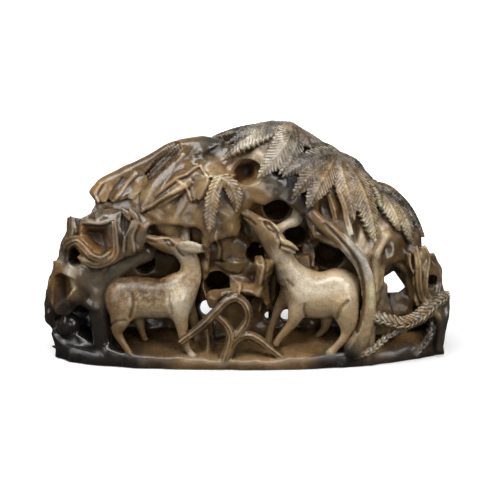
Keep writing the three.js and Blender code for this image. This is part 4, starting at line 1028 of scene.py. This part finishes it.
DEER_ZONES = {
    HONEY: [(-32, -19, 47, 6, 1.2), (-45, -20, 10, 8, 1.2), (4, -18, 54, 4, 1.2)],
    TAN: [(-48, -14, 26, 6, 1.2), (-22, -20, 8, 7, 1.2), (4, -19, 52, 7, 1.2), (12, -19, 12, 7, 1),
        (36, -18, 10, 7, 1), (-23, -14.5, 53, 3, 3), (26, -21, 27, 3.5, 1.2)],
    # The CREAM zone at (-43.5, -21.5, 21) on deer A's haunch is a painted highlight.
    CREAM: [(-35, -22, 18.5, 6, 2.4), (-43.5, -21.5, 21, 3, 4), (-20, -17, 33, 5, 2.4),
        (29.8, -20, 5, 2, 3), (28, -16, 36, 10, 2), (30, -20, 22, 9, 1.6), (14, -18, 30, 7, 1.1),
        (12, -19, 40, 6, 1.2), (24, -17, 21, 4, 1.6), (-29, -21, 26, 4, 2)],
    # In WHITE, the zone on deer A's shoulder is partly pale stone and partly painted highlight; those on the
    # hooves and the band along deer B's neck and back are painted highlights.
    WHITE: [(-25.8, -20.5, 25.5, 3.6, 9), (-40.6, -21.2, 2.9, 2.2, 4), (-19.8, -21.2, 3.4, 2.2, 4),
        (-22, -15, 46, 5, 1.6), (15, -14, 53, 5, 1.6), (11.8, -19, 40, 2.4, 9), (14.8, -20, 34.4, 2.8, 12),
        (19.6, -21, 30.8, 3, 14), (26, -21, 30.8, 3.2, 14), (33, -20, 31.8, 3.2, 12)],
    AMBER: [(-34, -14, 32, 6, 1)],
    BROWN: [(-40, -14, 31, 8, 1), (7.6, -17, 43, 2.6, 3), (10.2, -18, 36.5, 2.6, 4), (12, -20, 30, 2.6, 3),
        (14.4, -20, 23.5, 2.6, 3)],
}


def tinted(points, zones, start):
    """The mean of the zones' colours at each point, weighted by nearness, with a little of start."""
    total = np.full(len(points), START_WEIGHT)
    colour = total[:, None] * np.array(start)
    for tone, places in zones.items():
        for x, y, z, reach, weight in places:
            share = weight * np.exp(-((points - (x, y, z)) ** 2).sum(1) / reach ** 2)
            total += share
            colour += share[:, None] * np.array(tone)
    return colour / total[:, None]


# How the stone's colour is changed as a whole, by dirt and painted shade in hollows, and by pale wear and
# painted highlights on edges.
WHOLE_TINT = np.array((0.95, 0.90, 0.80))
DIRT_AND_SHADE_DARKENS = np.array((2.0, 2.45, 3.0))
WORN_AND_HIGHLIT_PALER = np.array((0.1, 0.09, 0.07))
PALEST = 0.7


def together(*shares):
    """The share covered by any of several shares."""
    return 1 - math.prod(1 - share for share in shares)


def smooth_step(low, high, value):
    t = np.clip((value - low) / (high - low), 0, 1)
    return t * t * (3 - 2 * t)


def near(points, centre, reach):
    """From 1 at the centre to 0 far outside its reach."""
    return np.exp(-(((points - centre) / reach) ** 2).sum(1))


def finished(stone, mesh):
    """Colours the mesh by place, with dirt and painted shade in hollows and pale wear and painted highlights
    on edges, and smooths its shading.
    """
    count = len(mesh.vertices)
    points = np.empty(count * 3, np.float32)
    mesh.vertices.foreach_get("co", points)
    points = points.reshape(-1, 3) * STEP + GRID_LOW
    solid = np.clip(0.5 - stone.distance / (2 * STEP), 0, 1)
    edge, fine, broad = (sampled(blurred(solid, reach), points) for reach in (0.45, 1.2, 3.6))
    normals = np.stack([sampled(g, points) for g in np.gradient(eased(stone.distance), STEP)], axis=1)
    normals /= np.linalg.norm(normals, axis=1, keepdims=True) + 1e-6
    inside = points - 0.5 * normals
    deer, leaf, wood, root = (
        sampled(blurred(stone.label == label, 0.4), inside) for label in (DEER, LEAF, WOOD, ROOT)
    )
    waves = [2.6 * ripple(points, 17, seed) + ripple(points, 6, seed + 9) for seed in (1, 2, 3)]
    shaken = points + np.stack(waves, 1)
    colour = tinted(shaken, {tone: seen(places) for tone, places in ZONES.items()}, HONEY)
    colour = colour + (tinted(shaken, DEER_ZONES, TAN) - colour) * deer[:, None]
    scored = sampled(stone.scored, points)
    # Scored lines: stains and painted shadow lines darken, rubbed pale lines and painted highlights lighten.
    stained_and_shaded, rubbed_and_highlit = np.clip(scored, 0, 1), np.clip(-scored, 0, 1)
    buried = -sampled(stone.skin, points)
    # Painted shade at the bottom of the deepest holes and recesses, off the deer.
    pit_shade = smooth_step(12, 20, buried) * (1 - deer)
    # Dirt in creases together with painted shade: the blurred solid darkens creases and hollows as occlusion
    # would, and recesses deep under the skin get painted shade.
    dirt_and_shade = together(
        0.8 * smooth_step(0.53, 0.68, edge),
        0.7 * smooth_step(0.52, 0.74, fine),
        0.7 * smooth_step(0.52, 0.78, broad),
        0.85 * stained_and_shaded,
        # painted shade deep in the recesses, less on the deer
        0.6 * smooth_step(6, 17, buried) * (1 - 0.6 * deer),
        # darker towards the bottom edge
        0.4 * smooth_step(3.5, 0.5, points[:, 2]),
    )
    colour = colour * WHOLE_TINT * np.exp(-(dirt_and_shade + pit_shade)[:, None] * DIRT_AND_SHADE_DARKENS)
    paler = np.minimum(PALEST, 1.9 * colour + WORN_AND_HIGHLIT_PALER)
    # Thin convex edges made paler, partly as wear and partly as painted edge highlights; raised lines add
    # their pale marks.
    worn_and_highlit = smooth_step(0.47, 0.34, edge) * smooth_step(0.5, 0.4, fine)
    worn_and_highlit = np.maximum(worn_and_highlit * (0.75 + 0.2 * leaf), rubbed_and_highlit)
    colour = colour + (paler - colour) * worn_and_highlit[:, None]
    tint = mesh.attributes.new("tint", "FLOAT_COLOR", "POINT")
    tint.data.foreach_set("color", np.column_stack((colour, np.ones(count))).astype(np.float32).ravel())
    back = near(points, (-37, -14, 30.5), (19, 20, 9))
    breast = near(points, (11.5, -19, 31), (3, 6, 10))
    shoulder = near(points, (-25.8, -20.5, 25), (4, 6, 6))
    values = {
        "deer": deer, "leaf": leaf, "wood": wood, "root": root,
        "dull": np.maximum(dirt_and_shade, 0.5 * smooth_step(9, 5, points[:, 2])),
        "brown": deer * (1 - shoulder) * np.maximum(back, 0.8 * breast),
        "along": sampled(stone.along, inside), "across": sampled(np.abs(stone.across), inside),
    }
    for name, numbers in values.items():
        mesh.attributes.new(name, "FLOAT", "POINT").data.foreach_set("value", numbers.astype(np.float32))
    placed = points * METRES + ORIGIN
    mesh.vertices.foreach_set("co", placed.astype(np.float32).ravel())
    mesh.update()
    mesh.shade_smooth()
    mesh.normals_split_custom_set_from_vertices(normals.astype(np.float32))
    return mesh


# Colours that the material mixes in, linear.
INK = (0.03, 0.018, 0.01)
FISSURE = (0.035, 0.02, 0.01)
DARK_SPECK = (0.055, 0.025, 0.008)
PALE_SPECK = (0.16, 0.09, 0.04)
SMOKE = (0.42, 0.38, 0.34)
STAIN = (0.36, 0.32, 0.28)
RIM = (0.24, 0.17, 0.11)


def jade():
    """Polished mottled jade: colour by place, speckles, glow under the surface, sharp gloss."""
    material = bpy.data.materials.new("jade")
    material.use_nodes = True
    nodes, links = material.node_tree.nodes, material.node_tree.links
    shader = nodes["Principled BSDF"]
    place = nodes.new("ShaderNodeTexCoord").outputs["Object"]

    def made(kind, output, inputs, **settings):
        """The output of a new node with its inputs set or linked."""
        node = nodes.new(kind)
        for name, setting in settings.items():
            setattr(node, name, setting)
        for key, value in inputs.items():
            if isinstance(value, (int, float)):
                node.inputs[key].default_value = value
            elif isinstance(value, tuple):
                node.inputs[key].default_value = (*value, 1)
            else:
                links.new(value, node.inputs[key])
        return node.outputs[output]

    def measured(name, output="Fac"):
        return made("ShaderNodeAttribute", output, {}, attribute_name=name)

    def noise(scale, detail=4.0, roughness=0.6):
        inputs = {"Scale": scale, "Detail": detail, "Roughness": roughness, "Vector": place}
        return made("ShaderNodeTexNoise", "Fac", inputs)

    def ranged(value, low, high, to_low, to_high):
        inputs = {"Value": value, "From Min": low, "From Max": high, "To Min": to_low, "To Max": to_high}
        return made("ShaderNodeMapRange", "Result", inputs)

    def mixed(kind, share, a, b):
        inputs = {"Factor": share, "A": a, "B": b}
        return made("ShaderNodeMix", "Result", inputs, data_type="RGBA", blend_type=kind)

    def maths(kind, a, b=0):
        return made("ShaderNodeMath", "Value", {0: a, 1: b}, operation=kind)

    def times(a, b):
        return maths("MULTIPLY", a, b)

    def plus(a, b):
        return maths("ADD", a, b)

    def wave(name, spacing):
        """Lines at a spacing in mm along what the attribute measures."""
        return maths("COSINE", times(measured(name), 2 * math.pi / spacing))

    def hatch(spacing, sharp):
        """Fine slanting lines beside a midrib, from 0 to 1."""
        return ranged(wave("along", spacing), sharp, 1, 0, 1)

    leaf, wood, deer = measured("leaf"), measured("wood"), measured("deer")
    carved = maths("MAXIMUM", leaf, wood)
    outward = times(measured("across"), leaf)
    outer = times(ranged(outward, 0.1, 0.7, 0.25, 1), leaf)
    lines = plus(times(hatch(VEIN_SPACING, 0.1), outer), times(hatch(BARK_SPACING, 0.2), wood))
    rings = times(ranged(wave("across", ROOT_SPACING), -0.2, 1, 0, 0.8), measured("root"))
    fine_lines = plus(times(hatch(VEIN_SPACING / 3, -0.5), outer), times(hatch(BARK_SPACING / 3, -0.5), wood))
    colour = measured("tint", "Color")
    cloudy = ranged(noise(110, 5.0), 0.32, 0.68, 0.6, 1.4)
    colour = mixed("MULTIPLY", ranged(deer, 0, 1, 1, 0.4), colour, cloudy)
    smoky = times(ranged(noise(45, 6.0, 0.7), 0.48, 0.62, 0, 0.75), maths("SUBTRACT", 1, deer))
    colour = mixed("MULTIPLY", smoky, colour, SMOKE)
    cracks = noise(160, 5.0, 0.75)
    fissures = times(ranged(cracks, 0.485, 0.5, 0, 1), ranged(cracks, 0.5, 0.515, 0.5, 0))
    colour = mixed("MIX", fissures, colour, FISSURE)
    stains = times(ranged(noise(230, 5.0, 0.75), 0.49, 0.58, 0, 0.75), carved)
    colour = mixed("MULTIPLY", stains, colour, STAIN)
    rim = times(ranged(outward, 0.78, 0.96, 0, 0.85), leaf)
    colour = mixed("MULTIPLY", rim, colour, RIM)
    streaks = times(ranged(noise(420, 3.0), 0.4, 0.58, 0, 1), ranged(noise(120, 3.0), 0.4, 0.6, 0.35, 1))
    dark_lines = maths("MAXIMUM", times(lines, maths("MAXIMUM", streaks, wood)), rings)
    colour = mixed("MIX", times(dark_lines, 0.8), colour, INK)
    between = times(fine_lines, maths("SUBTRACT", 1, lines))
    # Pale ticks on leaf teeth and bark between the fine lines, partly painted glints.
    ticks_and_glints = times(between, ranged(noise(330, 2.0), 0.44, 0.58, 0, 0.9))
    colour = mixed("MIX", ticks_and_glints, colour, WHITE)
    speckles = times(ranged(noise(560, 5.0, 0.8), 0.465, 0.53, 0, 1), measured("brown"))
    colour = mixed("MIX", speckles, colour, DARK_SPECK)
    flecks = times(ranged(noise(700, 4.0, 0.75), 0.56, 0.64, 0, 0.35), deer)
    colour = mixed("MIX", flecks, colour, PALE_SPECK)
    links.new(colour, shader.inputs["Base Color"])
    rough = plus(ranged(noise(250), 0.3, 0.7, 0.1, 0.26), times(measured("dull"), 0.25))
    links.new(plus(rough, times(measured("brown"), 0.22)), shader.inputs["Roughness"])
    shader.inputs["IOR"].default_value = 1.56
    shader.inputs["Subsurface Weight"].default_value = 0.25
    shader.inputs["Subsurface Radius"].default_value = (1.0, 0.65, 0.35)
    shader.inputs["Subsurface Scale"].default_value = 0.0015
    heights = plus(plus(times(lines, -0.7), times(noise(600, 3.0), 0.5)), times(fine_lines, 0.5))
    bump = made("ShaderNodeBump", "Normal", {"Strength": 0.45, "Distance": 0.0003, "Height": heights})
    links.new(bump, shader.inputs["Normal"])
    return material


stone = carve()
mesh = finished(stone, meshed(stone))
mesh.name = "carved_stone"
mesh.materials.append(jade())
piece = bpy.data.objects.new("carved_stone", mesh)
bpy.context.scene.collection.objects.link(piece)
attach(piece, "root")
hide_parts(NODE)

# Stage, lights and camera

CENTRE = Vector(((BOX_LOW + BOX_HIGH) / 2).tolist())
REAR = 1.2  # where the floor ends and the wall stands, in m


def plain_material(name, grey, roughness, glow):
    material = bpy.data.materials.new(name)
    material.use_nodes = True
    shader = material.node_tree.nodes["Principled BSDF"]
    shader.inputs["Base Color"].default_value = (grey, grey, grey, 1)
    shader.inputs["Roughness"].default_value = roughness
    shader.inputs["Emission Color"].default_value = (1, 1, 1, 1)
    shader.inputs["Emission Strength"].default_value = glow
    return material


def flat_sheet(name, corners, material):
    """A stage sheet that the camera sees and that neither lights the stone nor shows in its gloss."""
    sheet = bpy.data.meshes.new(name)
    sheet.from_pydata(corners, [], [(0, 1, 2, 3)])
    sheet.materials.append(material)
    item = bpy.data.objects.new(name, sheet)
    item.visible_diffuse = False
    item.visible_glossy = False
    bpy.context.scene.collection.objects.link(item)
    item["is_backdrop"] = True


def stage():
    low = float(BOX_LOW[2]) - 0.0002
    floor = plain_material("pale_floor", 0.75, 0.9, 1)
    nodes, links = floor.node_tree.nodes, floor.node_tree.links
    # The floor glows less near the stone and more further off: painted shade around the stone that deepens
    # its contact shadow.
    far = nodes.new("ShaderNodeVectorMath")
    far.operation = "LENGTH"
    links.new(nodes.new("ShaderNodeTexCoord").outputs["Object"], far.inputs[0])
    glow = nodes.new("ShaderNodeMapRange")
    for name, number in (("From Min", 0.07), ("From Max", 0.2), ("To Min", 0.45), ("To Max", 1.0)):
        glow.inputs[name].default_value = number
    links.new(far.outputs["Value"], glow.inputs["Value"])
    links.new(glow.outputs["Result"], nodes["Principled BSDF"].inputs["Emission Strength"])
    wall = plain_material("white_wall", 0, 1, 1.1)
    sides = ((-1.5, -1.5), (1.5, -1.5), (1.5, REAR), (-1.5, REAR))
    flat_sheet("floor", [(x, y, low) for x, y in sides], floor)
    sides = ((-3, -1), (3, -1), (3, 3), (-3, 3))
    flat_sheet("wall", [(x, REAR, z) for x, z in sides], wall)
    world = bpy.data.worlds.new("studio")
    world.use_nodes = True
    world.node_tree.nodes["Background"].inputs["Color"].default_value = (0.9, 0.95, 1, 1)
    world.node_tree.nodes["Background"].inputs["Strength"].default_value = 0.08
    bpy.context.scene.world = world


# Each light's name, place, width, height and power.
LIGHTS = [
    ("top", (-0.08, -0.22, 0.5), 0.7, 0.2, 3.0),
    ("left", (-0.5, -0.3, 0.3), 0.2, 0.4, 0.85),
    ("right", (0.45, -0.45, 0.25), 0.2, 0.4, 1.45),
    ("front", (0.05, -0.9, 0.3), 0.5, 0.3, 1.0),
    ("back", (0.1, 0.9, 0.4), 1.1, 0.7, 1.7),
]


def softbox(name, place, width, height, power):
    light = bpy.data.lights.new(name, "AREA")
    light.shape = "RECTANGLE"
    light.size, light.size_y = width, height
    light.energy = power
    item = bpy.data.objects.new(name, light)
    item.location = place
    item.rotation_euler = (CENTRE - Vector(place)).to_track_quat("-Z", "Y").to_euler()
    bpy.context.scene.collection.objects.link(item)


DISTANCE = 0.9
LENS = 175
AIM = Vector((0.0006, 0, 0.0388))


def camera():
    data = bpy.data.cameras.new("camera")
    data.lens = LENS
    data.sensor_width = 36
    item = bpy.data.objects.new("camera", data)
    way = Vector((0, -math.cos(SIGHT), math.sin(SIGHT)))
    item.location = AIM + DISTANCE * way
    item.rotation_euler = (-way).to_track_quat("-Z", "Y").to_euler()
    bpy.context.scene.collection.objects.link(item)
    bpy.context.scene.camera = item


stage()
for light in LIGHTS:
    softbox(*light)
camera()
bpy.context.scene.view_settings.view_transform = "Standard"

[[list(corner) for corner in bounds] for bounds in (cad_bounds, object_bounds())]
